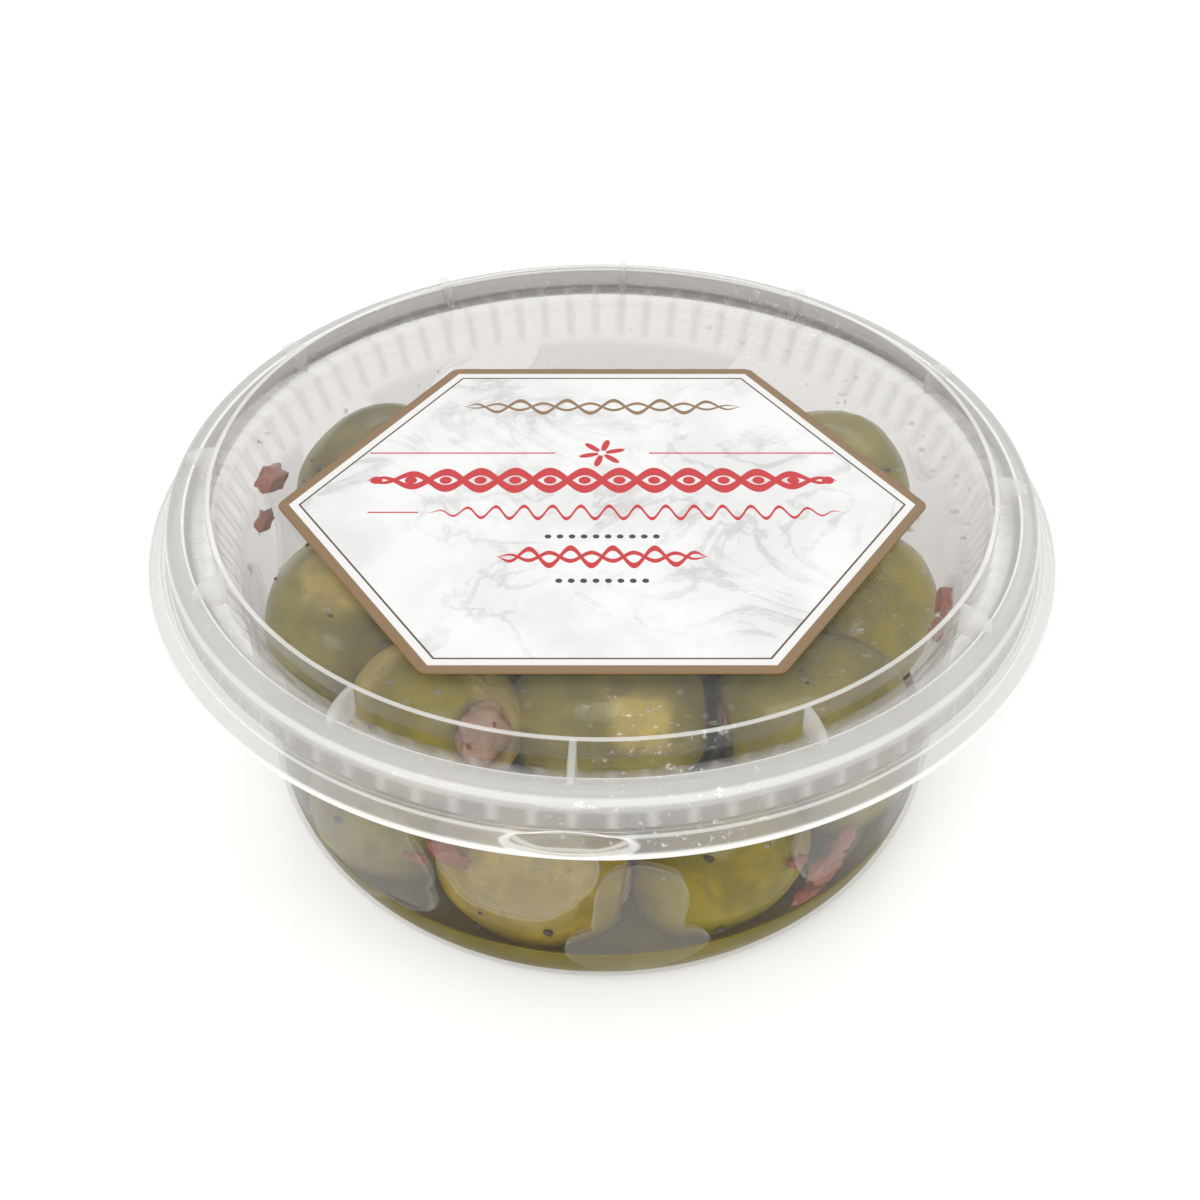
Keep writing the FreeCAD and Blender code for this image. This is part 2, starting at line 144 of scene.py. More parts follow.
# %% A tree with one way to make a node
class Finish:
    """A material under construction, or a world if one is handed in."""

    def __init__(self, name, owner=None):
        self.owner = owner or bpy.data.materials.new(name)
        self.owner.use_nodes = True
        self.tree = self.owner.node_tree
        self.tree.nodes.clear()

    def node(self, kind, settings=None, sockets=None, output=0):
        made = self.tree.nodes.new("ShaderNode" + kind)
        for key, value in (settings or {}).items():
            setattr(made, key, value)
        for key, value in (sockets or {}).items():
            if isinstance(value, Signal):
                self.tree.links.new(value.socket, made.inputs[key])
            else:
                made.inputs[key].default_value = value
        return Signal(self, made.outputs[output]) if made.outputs else None

    def place(self):
        """Where a spot is, in the object's own metres."""
        return self.node("TexCoord", output="Object")

    def axes(self):
        """The three parts of place(), as signals."""
        first = self.node("SeparateXYZ", sockets={0: self.place()})
        return [Signal(self, socket) for socket in first.socket.node.outputs]

    def noise(self, scale, detail=3.0, roughness=0.5, distortion=0.0):
        return self.node("TexNoise", sockets={
            "Vector": self.place(), "Scale": scale, "Detail": detail,
            "Roughness": roughness, "Distortion": distortion})

    def fade(self, value, low, high):
        """0 below low, 1 above high, smooth between."""
        return self.node("MapRange", {"interpolation_type": "SMOOTHSTEP"}, {
            "Value": value, "From Min": low, "From Max": high})

    def blend(self, factor, first, second, how="MIX"):
        return self.node("Mix", {"data_type": "RGBA", "blend_type": how},
                         {0: factor, 6: first, 7: second}, output=2)

    def bump(self, height, strength, distance):
        return self.node("Bump", sockets={
            "Strength": strength, "Distance": distance, "Height": height})

    def surface(self, shader):
        """Links the shader to the tree's output and returns the material or the world."""
        kind = "World" if isinstance(self.owner, bpy.types.World) else "Material"
        self.node("Output" + kind, sockets={"Surface": shader})
        return self.owner


def tint(red, green, blue):
    """A colour written as it shows on screen, turned into the light values a shader wants."""
    def linear(part):
        part /= 255
        return part / 12.92 if part <= 0.04045 else ((part + 0.055) / 1.055) ** 2.4
    return (linear(red), linear(green), linear(blue), 1.0)


def from_middle(across, up):
    """Distance from the middle of two crossed measures. Takes signals."""
    return (across * across + up * up) ** 0.5


print("shader helpers ready")

# %% [markdown]
# ## Stage and light
#
# A white floor under a white world, with four lamps: three soft ones, and a small one for glints.
# The eye sees the world as pure white, whether straight, in a reflection or through the plastic.
# As a light it is weaker, so that the plastic keeps its own grey. Light Path tells the two uses
# apart. The floor gets a little glow from the same mask, more of it far off, so that it stays
# white up to the horizon when the camera is low.


# %% World
WHITE = (1, 1, 1, 1)
WORLD_LIGHT = 0.45


def for_the_eye(finish):
    """1 for rays that show a thing, straight, mirrored or through; 0 for those that only light."""
    rays = finish.node("LightPath").socket.node.outputs
    straight = Signal(finish, rays["Is Camera Ray"])
    mirrored = Signal(finish, rays["Is Glossy Ray"])
    through = Signal(finish, rays["Is Transmission Ray"])
    return straight.either(mirrored).either(through)


studio = Finish("Studio", bpy.data.worlds.new("Studio"))
as_light = studio.node("Background", sockets={"Color": WHITE, "Strength": WORLD_LIGHT})
as_shown = studio.node("Background", sockets={"Color": WHITE, "Strength": 1.0})
bpy.context.scene.world = studio.surface(
    studio.node("MixShader", sockets={0: for_the_eye(studio), 1: as_light, 2: as_shown}))
print("world strength as a light:", WORLD_LIGHT)

# %% Floor
NEAR_GLOW, FAR_GLOW = 0.30, 0.34
GLOW_FADE = (0.12, 0.50)  # metres from the middle

floor_paint = Finish("stage_floor")
floor_x, floor_y, _ = floor_paint.axes()
far_off = floor_paint.fade(from_middle(floor_x, floor_y), *GLOW_FADE)
floor_coat = floor_paint.node("BsdfPrincipled", sockets={
    "Base Color": (0.93, 0.93, 0.93, 1), "Roughness": 0.9, "Specular IOR Level": 0.0,
    "Emission Color": (NEAR_GLOW + FAR_GLOW * far_off) * for_the_eye(floor_paint),
    "Emission Strength": 1.0})

bpy.ops.mesh.primitive_plane_add(size=6, location=(0, 0, 0))
floor = bpy.context.object
floor.name = "floor"
floor.data.materials.append(floor_paint.surface(floor_coat))
print("floor:", [round(side, 2) for side in floor.dimensions], "m")


# %% Lamps
LAMPS = [  # name, place, aim and size in metres, watts
    ("key", (-0.14, -0.54, 0.66), (0, 0, 0.03), (0.5, 0.35), 3.2),
    ("fill", (0.6, -0.35, 0.45), (0, 0, 0.03), (0.3, 0.5), 0.6),
    ("back", (0.1, 0.65, 0.6), (0, 0, 0.03), (0.7, 0.2), 1.5),
    ("glint", (0.16, -0.62, 0.62), (0, 0, 0.04), (0.07, 0.03), 0.25),
]


def soft_lamp(name, place, aim, size, watts):
    data = bpy.data.lights.new(name, "AREA")
    data.shape = "RECTANGLE"
    data.size, data.size_y = size
    data.energy = watts
    lamp = bpy.data.objects.new(name, data)
    bpy.context.scene.collection.objects.link(lamp)
    lamp.location = place
    lamp.rotation_euler = (Vector(aim) - Vector(place)).to_track_quat("-Z", "Y").to_euler()


for name, place, aim, size, watts in LAMPS:
    soft_lamp(name, place, aim, size, watts)
    print("lamp", name, watts, "W")

# %% [markdown]
# ## Turning a profile
#
# Tub, lid and brine are all turned shapes: a half outline spun about the axis. Moulded plastic has
# no sharp corners, so each corner of the outline carries its own rounding. The spin can also be
# told to ripple, which is how the tub's fluted band is made.


# %% Rounded outline
BIG_CURVE = 3  # mm; from here on a rounding gets more corners and may use up the side it is on


def rounded(outline, parts=5):
    """A closed outline of (radius, height, rounding) corners as a list of (radius, height)."""
    path = []
    count = len(outline)
    for i, (x, z, rounding) in enumerate(outline):
        if rounding <= 0:
            path.append((x, z))
            continue
        here = Vector((x, z))
        back = Vector(outline[i - 1][:2]) - here
        ahead = Vector(outline[(i + 1) % count][:2]) - here
        half_angle = back.angle(ahead) / 2
        share = 0.95 if rounding > BIG_CURVE else 0.45
        reach = min(rounding / math.tan(half_angle), share * back.length, share * ahead.length)
        radius = reach * math.tan(half_angle)
        inward = (back.normalized() + ahead.normalized()).normalized()
        centre = here + inward * (radius / math.sin(half_angle))
        first = here + back.normalized() * reach - centre
        last = here + ahead.normalized() * reach - centre
        turn = first.angle_signed(last)
        steps = parts if rounding < BIG_CURVE else 4 * parts
        for k in range(steps + 1):
            spun = Matrix.Rotation(-turn * k / steps, 2) @ first
            path.append(tuple(centre + spun))
    return path


print("a rounded corner has", len(rounded([(0, 0, 0), (9, 0, 1), (0, 9, 0)])) - 2, "points")


# %% Spin and finish a mesh
ON_AXIS = 1e-6


def into_mesh(work, mesh, smooth=True):
    """Writes a bmesh into a mesh with its faces turned outwards, and frees the bmesh."""
    bmesh.ops.recalc_face_normals(work, faces=work.faces)
    work.to_mesh(mesh)
    work.free()
    for polygon in mesh.polygons:
        polygon.use_smooth = smooth
    return mesh


def spin(name, path, steps, shift=None):
    """Turns a closed path of (radius, height) in mm about the axis; shift may move each corner."""
    verts, faces, rows = [], [], []
    for r, z in path:
        if r < ON_AXIS:
            rows.append([len(verts)])
            verts.append((0, 0, z * MM))
            continue
        row = []
        for k in range(steps):
            turn = 2 * math.pi * k / steps
            rr, zz = (r, z) if shift is None else shift(r, z, turn)
            row.append(len(verts))
            verts.append((rr * MM * math.cos(turn), rr * MM * math.sin(turn), zz * MM))
        rows.append(row)
    for low, high in zip(rows, rows[1:] + rows[:1]):
        if len(low) == 1 and len(high) == 1:
            continue
        for k in range(steps):
            j = (k + 1) % steps
            if len(low) == 1:
                faces.append((low[0], high[j], high[k]))
            elif len(high) == 1:
                faces.append((low[k], low[j], high[0]))
            else:
                faces.append((low[k], low[j], high[j], high[k]))
    mesh = bpy.data.meshes.new(name)
    mesh.from_pydata(verts, [], faces)
    mesh.validate()
    work = bmesh.new()
    work.from_mesh(mesh)
    return into_mesh(work, mesh)


def new_piece(name, mesh, material, slot, *stands_for):
    """Puts a finished mesh in the scene as a piece of the part."""
    piece = bpy.data.objects.new(name, mesh)
    bpy.context.scene.collection.objects.link(piece)
    mesh.materials.append(material)
    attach(piece, "root")
    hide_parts(*stands_for)


print("turning helpers ready")

# %% [markdown]
# ## The tub
#
# The real tub is blown or pressed from a sheet well under a millimetre thick: a base with a
# pushed-up middle, a generous corner, a wall with a few degrees of draft, a band of fine flutes
# where the wall flares out, a shelf, and a rim with a turned-down lip. One closed outline holds
# both sides of the sheet, so the plastic has a real thickness, and its edges gather more plastic
# in the line of sight and look whiter. The flutes come from a ripple added while spinning.

# %% Tub mesh
FLUTES, STEPS_PER_FLUTE = 80, 6
FLUTE_DEEP = 0.42
NECK_Z, SHELF_Z = 42.6, 48.2
FLARE_EASE = 0.3  # mm below the neck where the flutes begin

TUB_OUTLINE = [
    (0, 0.5, 0), (29, 0.5, 1.5), (30, 0.0, 1.0), (45.4, 0, 12), (47.65, NECK_Z, 3), (50, 47.5, 0.6),
    (54.1, 47.5, 0.4), (54.9, 45.4, 0.2), (55.6, 45.4, 0.3), (54.85, 49.8, 1.0), (53.6, 49.8, 0.6),
    (52.7, SHELF_Z, 0.6), (49.3, SHELF_Z, 0.8), (46.95, NECK_Z, 3), (44.7, 0.7, 11.3),
    (30, 0.7, 1.0), (29, 1.2, 1.5), (0, 1.2, 0),
]


def fluted(r, z, turn):
    """Ripples the flare: nothing at the neck, full depth under the shelf."""
    on_flare = r <= 51 and NECK_Z - FLARE_EASE < z < SHELF_Z - 0.2
    if not on_flare:
        return r, z
    rise = (z - NECK_Z + FLARE_EASE) / (SHELF_Z - NECK_Z)
    depth = FLUTE_DEEP * math.sin(math.pi * min(1.0, 0.15 + 0.85 * rise))
    return r + depth * (abs(math.cos(0.5 * FLUTES * turn)) ** 0.6 - 0.65), z


def with_stops(path, gap, wanted):
    """Splits the wanted straight runs so that a ripple or a dish has corners to move."""
    dense = []
    for (r, z), (r2, z2) in zip(path, path[1:] + path[:1]):
        dense.append((r, z))
        steps = int(math.hypot(r2 - r, z2 - z) / gap) if wanted(r, z, r2, z2) else 0
        for k in range(1, steps):
            dense.append((r + (r2 - r) * k / steps, z + (z2 - z) * k / steps))
    return dense


def near_flare(r, z, r2, z2):
    return max(z, z2) >= NECK_Z - 0.5 and r > 40


tub_path = with_stops(rounded(TUB_OUTLINE), 0.7, near_flare)
tub_mesh = spin("tub_wall", tub_path, STEPS_PER_FLUTE * FLUTES, fluted)
print("tub:", len(tub_mesh.polygons), "faces")

# %% [markdown]
# ## The lid
#
# A lid of this kind is one moulding: a flat panel, a thin ring that stands up to locate the next
# tub, gussets that brace the ring against the rim, a cover that hugs the tub's rim, and a skirt
# that ends in a small sloping flange. The thumb tab is an oval dish in that flange. The lid is
# spun like the tub, the dish is pressed in while spinning, and the gussets are small plates.

# %% Lid mesh
LID_TURN = math.radians(-3.6)
LID_STEPS = 480
PANEL_Z, RING_TOP = 49.1, 53.2

LID_OUTLINE = [
    (0, PANEL_Z, 0), (48.9, PANEL_Z, 0.5), (49.35, RING_TOP, 0.3), (50.1, RING_TOP, 0.3),
    (49.75, PANEL_Z, 0.5), (52.2, PANEL_Z, 0.6), (52.97, 50.7, 0.6), (54.9, 50.7, 1.4),
    (56.7, 45.24, 0.5), (58.4, 44.12, 0.35), (58.4, 43.64, 0.15), (57.75, 43.64, 0.15),
    (57.4, 43.95, 0.3), (55.72, 44.68, 0.2), (56.0, 45.56, 0.2), (55.2, 49.3, 0.5),
    (54.5, 50.0, 0.5), (53.32, 50.0, 0.4), (52.48, 48.4, 0.5), (0, 48.4, 0),
]
FLANGE_REACH, FLANGE_LOW, FLANGE_HIGH = 56.2, 43.75, 46.4
TAB_AT = -math.pi / 2 + LID_TURN
TAB_REACH, TAB_Z = 57.5, 44.75
TAB_HALF, TAB_TALL, TAB_DEEP = 7.2, 0.85, 0.75


def dished(r, z, turn):
    """Presses the oval thumb dish into the flange's outer face."""
    if r < FLANGE_REACH or z > FLANGE_HIGH or z < FLANGE_LOW:
        return r, z
    along = TAB_REACH * math.remainder(turn - TAB_AT, 2 * math.pi) / TAB_HALF
    up = (z - TAB_Z) / TAB_TALL
    inside = 1 - along * along - up * up
    if inside <= 0:
        return r, z
    press = TAB_DEEP * min(1.0, 2.2 * inside)
    return r - 0.6 * press, z - 0.35 * press


def on_flange(r, z, r2, z2):
    return min(r, r2) > 56 and z < 50


lid_path = with_stops(rounded(LID_OUTLINE), 0.22, on_flange)
lid_mesh = spin("lid_shell", lid_path, LID_STEPS, dished)
print("lid:", len(lid_mesh.polygons), "faces")


# %% Gussets
GUSSETS, GUSSET_THICK = 12, 0.8
GUSSET_FROM, GUSSET_LONG = 50.0, 4.3  # distance from the axis and run outwards, in mm
GUSSET_FOOT, GUSSET_TALL = 50.55, 2.55  # height of the foot and rise above it, in mm


def stack_rings(work, rings):
    """Joins rings of corners, each to the next, and closes both ends."""
    count = len(rings[0])
    for low, high in zip(rings, rings[1:]):
        for i in range(count):
            j = (i + 1) % count
            work.faces.new((low[i], low[j], high[j], high[i]))
    work.faces.new(list(reversed(rings[0])))
    work.faces.new(rings[-1])


def plate(work, outline, thick, turn, soften=0.16):
    """A thin upright plate with softened edges, at a turn about the axis. Sizes in mm."""
    spin_to = Matrix.Rotation(turn, 3, "Z")
    count = len(outline)
    middle = Vector((sum(r for r, _ in outline) / count, sum(z for _, z in outline) / count))
    rings = []
    for side, shrink in ((-0.5, soften), (-0.3, 0.0), (0.3, 0.0), (0.5, soften)):
        ring = []
        for r, z in outline:
            spot = Vector((r, z))
            spot += (middle - spot).normalized() * shrink
            ring.append(work.verts.new(spin_to @ (Vector((spot.x, side * thick, spot.y)) * MM)))
        rings.append(ring)
    stack_rings(work, rings)


def gusset_outline(steps=9):
    """Full height at the ring, then a convex curve down to the cover of the rim."""
    corners = [(49.9, 48.9), (49.8, 53.1)]
    for k in range(1, steps + 1):
        part = k / steps
        fall = math.sqrt(max(0.0, 1 - part ** 2.4))
        corners.append((GUSSET_FROM + GUSSET_LONG * part, GUSSET_FOOT + GUSSET_TALL * fall))
    return corners + [(54.0, 50.4), (53.2, 50.4), (52.55, 48.9)]


work = bmesh.new()
for k in range(GUSSETS):
    plate(work, gusset_outline(), GUSSET_THICK, LID_TURN - math.pi / 2 + 2 * math.pi * k / GUSSETS)
gusset_mesh = into_mesh(work, bpy.data.meshes.new("gussets"))
print("gussets:", GUSSETS, "with", len(gusset_mesh.polygons), "faces")

# %% [markdown]
# ## Clear, slightly milky plastic
#
# Polypropylene is not glass. It lets most light straight through, scatters some of it as a soft
# grey-white milk, and mirrors a little at grazing angles. A glass shader would bend the light and
# darken it in every layer, so the material mixes three plain things: what is behind the sheet
# (Transparent), milk (a diffuse Principled with a slight painted glow, which stands in for light
# scattered inside the sheet), and gloss. Layer Weight gives milk and gloss more strength where the
# sheet is seen edge on, which draws the rims, the ring and the flutes; there the milk also turns a
# darker grey, a painted shade for dark surroundings mirrored at the edges. Past the inside of the
# rim the sheet is left clearer, because so many layers lie behind each other there that they would
# turn dark.
#
# Each part adds its own milk: islands and the flutes' painted highlights on the wall, painted
# highlight lines along folds and edges, and scuffs, on the lid.


# %% Plastic
# The edge grey is painted shade: it stands in for dark surroundings mirrored where the sheet is seen
# edge on.
MILK_GREY, MILK_EDGE_SHADE, MILK_WHITE = tint(204, 202, 199), tint(164, 162, 159), tint(255, 254, 250)
THROUGH_RIM = (0.945, 0.942, 0.935, 1)
RIM_INSIDE = (0.0485, 0.0510)  # metres from the axis
MIRROR, MIRROR_EDGE = 0.007, 0.45


def milky_plastic(name, milk, edge, clear, extra):
    """Clear sheet with a little milk in it. extra(finish) gives the milk to add in places, how
    white it is there, and how much of the milk and gloss seen edge on is kept."""
    finish = Finish(name)
    edge_on = finish.node("LayerWeight", sockets={"Blend": 0.5}, output="Facing")
    more, white, keep = extra(finish)
    milkiness = milk + edge * edge_on ** 4 * keep + more
    # Painted shade: seen edge on, the milk turns to the darker edge grey.
    colour = finish.blend(edge_on ** 2, MILK_GREY, MILK_EDGE_SHADE)
    colour = finish.blend(white, colour, MILK_WHITE)
    # The body's emission is a painted glow: it stands in for light scattered inside the sheet.
    body = finish.node("BsdfPrincipled", sockets={
        "Base Color": colour, "Roughness": 0.45, "Specular IOR Level": 0.2,
        "Emission Color": colour, "Emission Strength": 0.12})
    through_wall = finish.node("BsdfTransparent", sockets={
        "Color": (clear, clear - 0.006, clear - 0.012, 1)})
    through_rim = finish.node("BsdfTransparent", sockets={"Color": THROUGH_RIM})
    x, y, _ = finish.axes()
    through = finish.node("MixShader", sockets={
        0: finish.fade(from_middle(x, y), *RIM_INSIDE), 1: through_wall, 2: through_rim})
    sheet = finish.node("MixShader", sockets={0: milkiness.both(0.96), 1: through, 2: body})
    gloss = finish.node("BsdfGlossy", sockets={"Color": (0.97, 0.97, 0.97, 1), "Roughness": 0.05})
    shine = MIRROR + MIRROR_EDGE * edge_on ** 5 * keep
    return finish.surface(finish.node("MixShader", sockets={
        0: shine.both(0.7), 1: sheet, 2: gloss}))


print("milky plastic ready")

# %% [markdown]
# ## Wet and dry patches on the wall
#
# Where brine wets the inside of the wall, an olive shows through in full colour. Where there is a
# film of air between them, the same wall looks like frosted glass, with a light line along the
# edge of the wet part. These islands are a large part of how such a tub looks. They could be
# painted by hand on an image; here they are ellipses placed by angle and height, with noise to
# fray their edges, and noise alone makes a few more at the back. The flutes get a row of thin
# white ribs, a painted highlight where they would catch the light, and the rim is whiter all round.


# %% Milk on the tub
DRY = [  # angle from the front in degrees, height in mm, half width, half height
    (5, 13.0, 11.5, 4.6), (5.5, 20, 7.5, 9), (-13.5, 27.5, 12.5, 10.5), (-47, 22, 21, 13),
    (38, 26, 8.5, 9.5), (61, 19, 9, 10), (84, 26, 9, 12), (-84, 27, 10, 12),
]


def wall_milk(finish):
    x, y, z = finish.axes()
    turn = x.angle_over(0 - y) * (180 / math.pi)  # degrees from the front
    at_back = finish.fade(abs(turn), 92.0, 96.0)
    field = 1.25 - at_back * finish.fade(finish.noise(48.0, 1.0, 0.4), 0.44, 0.62) * 0.7
    for angle, height, wide, tall in DRY:
        field = field.both(from_middle((turn - angle) / wide, (z / MM - height) / tall))
    field = field + 0.6 * (finish.noise(95.0, 2.0, 0.5) - 0.5)
    dry = 1 - finish.fade(field, 0.965, 0.985)
    line = finish.fade(field, 0.935, 0.962) * (1 - finish.fade(field, 0.970, 1.0))
    below_neck = 1 - finish.fade(z, 0.0405, 0.0425)
    flare = finish.fade(z, 0.0420, 0.0435) * (1 - finish.fade(z, 0.0474, 0.0482))
    # Painted highlight: a thin white rib on every flute, where the flutes would catch the light.
    painted_rib_highlights = flare * (0.5 + 0.5 * (turn * (FLUTES * math.pi / 180)).sine()) ** 4
    rim = finish.fade(from_middle(x, y), 0.0500, 0.0525)
    milk = (0.12 * dry + 0.08 * line) * below_neck + 0.22 * painted_rib_highlights + 0.26 * rim
    white = 0.8 * painted_rib_highlights + 0.15 * line * below_neck
    # Painted shade at the foot: the edge milk and gloss fade out near the bottom, so the foot of the
    # wall stays dark.
    above_foot_shade = finish.fade(z, 0.003, 0.018)
    return milk, white, above_foot_shade


print("dry patches placed by hand:", len(DRY))


# %% Milk on the lid
def thin_line(finish, value, place, half_wide):
    """1 where a value passes a place, fading to nothing half_wide to each side. Sizes in mm."""
    return 1 - finish.fade(abs(value / MM - place), 0.35 * half_wide, half_wide)


def painted_highlight_lines(finish, reach, z):
    """Painted highlights: thin light lines where the moulding folds, and along the edges of ring and
    flange.
    """
    above_panel = finish.fade(z, 0.0494, 0.0498)
    lines = thin_line(finish, reach, 53.05, 0.22) * above_panel * 0.4
    lines = lines + thin_line(finish, reach, 55.35, 0.25) * 0.25
    lines = lines + finish.fade(z, 0.05300, 0.05316) * 0.5
    lines = lines + finish.fade(reach, 0.0579, 0.0583) * 0.6
    return lines + thin_line(finish, z, 45.4, 0.3) * finish.fade(reach, 0.0555, 0.0565) * 0.35


def lid_milk(finish):
    x, y, z = finish.axes()
    reach = from_middle(x, y)
    # These lines are painted highlights along the folds and edges of the moulding.
    lines = painted_highlight_lines(finish, reach, z)
    across = (y.angle_over(x) - TAB_AT) * (TAB_REACH / TAB_HALF)
    oval = from_middle(across, (z / MM - TAB_Z) / TAB_TALL)
    outside = finish.fade(reach, 0.0555, 0.0562)
    # Inside the thumb dish there is less milk, a painted shade in the recess; round its rim runs a
    # painted highlight.
    dish = outside * (1 - finish.fade(oval, 0.80, 0.90))
    dish_rim_highlight = outside * finish.fade(oval, 0.86, 0.94) * (1 - finish.fade(oval, 1.0, 1.1))
    fine = finish.fade(finish.noise(750.0, 3.0, 0.7), 0.60, 0.70)
    scuffs = fine * finish.fade(finish.noise(32.0, 2.0, 0.5), 0.52, 0.64)
    rim = finish.fade(reach, 0.0502, 0.0528)
    cover = finish.fade(z, 0.0478, 0.0496)
    moulded = rim * (0.20 + 0.30 * cover) + lines
    milk = moulded * (1 - 0.3 * dish) + 0.35 * dish_rim_highlight + 0.30 * scuffs
    white = (1.6 * lines + dish_rim_highlight + scuffs + 0.25).both(1.0)
    return milk, white, 1.0


def web_milk(finish):
    """The gussets are evenly milky and white."""
    return 0.24, 1.0, 1.0


# %% Tub and lid in their plastic
tub_plastic = milky_plastic("tub_plastic", 0.004, 0.20, 0.92, wall_milk)
lid_plastic = milky_plastic("lid_plastic", 0.006, 0.38, 0.89, lid_milk)
web_plastic = milky_plastic("web_plastic", 0.02, 0.10, 0.98, web_milk)

new_piece("tub_wall", tub_mesh, tub_plastic, "clear_plastic", "tub")
new_piece("lid_shell", lid_mesh, lid_plastic, "lid_plastic", "lid")
new_piece("lid_gussets", gusset_mesh, web_plastic, "lid_plastic", "lid")
print("plastic pieces placed")

# %% [markdown]
# ## The label
#
# A long hexagon of smooth paper: a bronze border, a pale gap, a thin dark line, and a field of
# white marble with soft grey veins. The print on it is plain bars, lines and a small rosette in
# red, bronze and black. The sheet is a thin mesh with softened edges, laid flat on the lid's
# panel; the print is drawn in the material, so its edges stay crisp at any size.

# %% Label mesh
LABEL_WIDE, LABEL_DEEP, LABEL_FLAT, LABEL_SHIFT = 83.0, 63.0, 41.5, -3.8
LABEL_RINGS = [  # inset from the outline, height above the panel, in mm
    (0.0, 0.02), (0.0, 0.13), (0.12, 0.19), (3.0, 0.2),
]


def hexagon(inset, corner=1.5, parts=6):
    """Corners of the label's outline, drawn in by inset, each rounded. Sizes in mm."""
    wide, deep, flat = 0.5 * LABEL_WIDE, 0.5 * LABEL_DEEP, 0.5 * LABEL_FLAT
    points = [(-wide, 0), (-flat, -deep), (flat, -deep), (wide, 0), (flat, deep), (-flat, deep)]
    outline = [(x, y, corner) for x, y in points]
    shrink = 1 - inset / deep
    return [(x * shrink, y * shrink + LABEL_SHIFT) for x, y in rounded(outline, parts)]


def label_sheet():
    work = bmesh.new()
    rings = []
    for inset, up in LABEL_RINGS:
        z = (PANEL_Z + up) * MM
        rings.append([work.verts.new((x * MM, y * MM, z)) for x, y in hexagon(inset)])
    stack_rings(work, rings)
    return into_mesh(work, bpy.data.meshes.new("label_sheet"), smooth=False)


label_mesh = label_sheet()
print("label:", len(label_mesh.polygons), "faces")

# %% [markdown]
# ## The print
#
# The print is a stack of masks. Each mask is an expression in the distances across the label:
# how far a spot lies inside the hexagon, inside a bar, or from a line. A mask of 1 lays its ink
# over what is below. The marble is two noises: a broad one for the grey clouds, and the zero line
# of a finer one for the veins.


# %% Marble
def marble(paper):
    zero_line = abs(paper.noise(55.0, 8.0, 0.62, distortion=1.2) - 0.5)
    vein = 1 - paper.fade(zero_line, 0.0, 0.045)
    broad = paper.fade(paper.noise(48.0, 5.0, 0.6), 0.40, 0.62)
    clouds = paper.blend(broad * 0.75, tint(252, 252, 251), tint(232, 232, 231))
    return paper.blend(vein * (0.12 + 0.5 * broad), clouds, tint(196, 194, 192))


# %% Masks for the print, all in mm on the label
class Print:
    """Masks in the label's own coordinates."""

    def __init__(self, paper):
        self.paper = paper
        x, y, _ = paper.axes()
        self.x, self.y = x / MM, y / MM

    def at_least(self, value, edge=0.0, soft=0.04):
        return self.paper.fade(value, edge - soft, edge + soft)

    def inside(self):
        """How far a spot lies inside the hexagon."""
        across, down = abs(self.x), abs(self.y - LABEL_SHIFT)
        lean = Vector((LABEL_DEEP / 2, (LABEL_WIDE - LABEL_FLAT) / 2)).normalized()
        slant = (0.5 * LABEL_WIDE) * lean.x - (across * lean.x + down * lean.y)
        return slant.both(0.5 * LABEL_DEEP - down)

    def bar(self, cx, cy, half_wide, half_tall):
        gap_x = half_wide - abs(self.x - cx)
        gap_y = half_tall - abs(self.y - cy)
        return self.at_least(gap_x.both(gap_y))

    def wave(self, cy, half_wide, tall, length, stroke, phase=0.0, cx=0.0):
        """A waving line with its ends fading to a point."""
        taper = 1 - (abs(self.x - cx) / half_wide) ** 6
        swing = (self.x * (2 * math.pi / length) + phase).sine() * tall * taper
        line = self.at_least(stroke * taper - abs(self.y - cy - swing))
        return line * self.bar(cx, cy, half_wide, tall + 1)

    def dots(self, cy, half_wide, pitch, size):
        """A row of small round dots."""
        across = ((self.x / pitch).fraction() - 0.5) * pitch
        dot = self.at_least(size - from_middle(across, self.y - cy))
        return dot * self.bar(0, cy, half_wide, size + 0.2)

    def rosette(self, cy, petals=6):
        """A small flower with an open middle."""
        up = self.y - cy
        radius = from_middle(self.x, up)
        petal = 1.75 + 1.35 * (up.angle_over(self.x) * petals).sine()
        return self.at_least(petal - radius, 0.0, 0.08) * self.at_least(radius, 0.55, 0.06)


# %% Label print
INKS = {"bronze": tint(139, 110, 74), "red": tint(203, 31, 38), "black": tint(40, 38, 38)}
BORDER, RULE = 1.35, (2.35, 2.62)  # mm in from the edge
RULE_BROWN, GAP_CREAM = tint(84, 62, 44), tint(246, 245, 242)


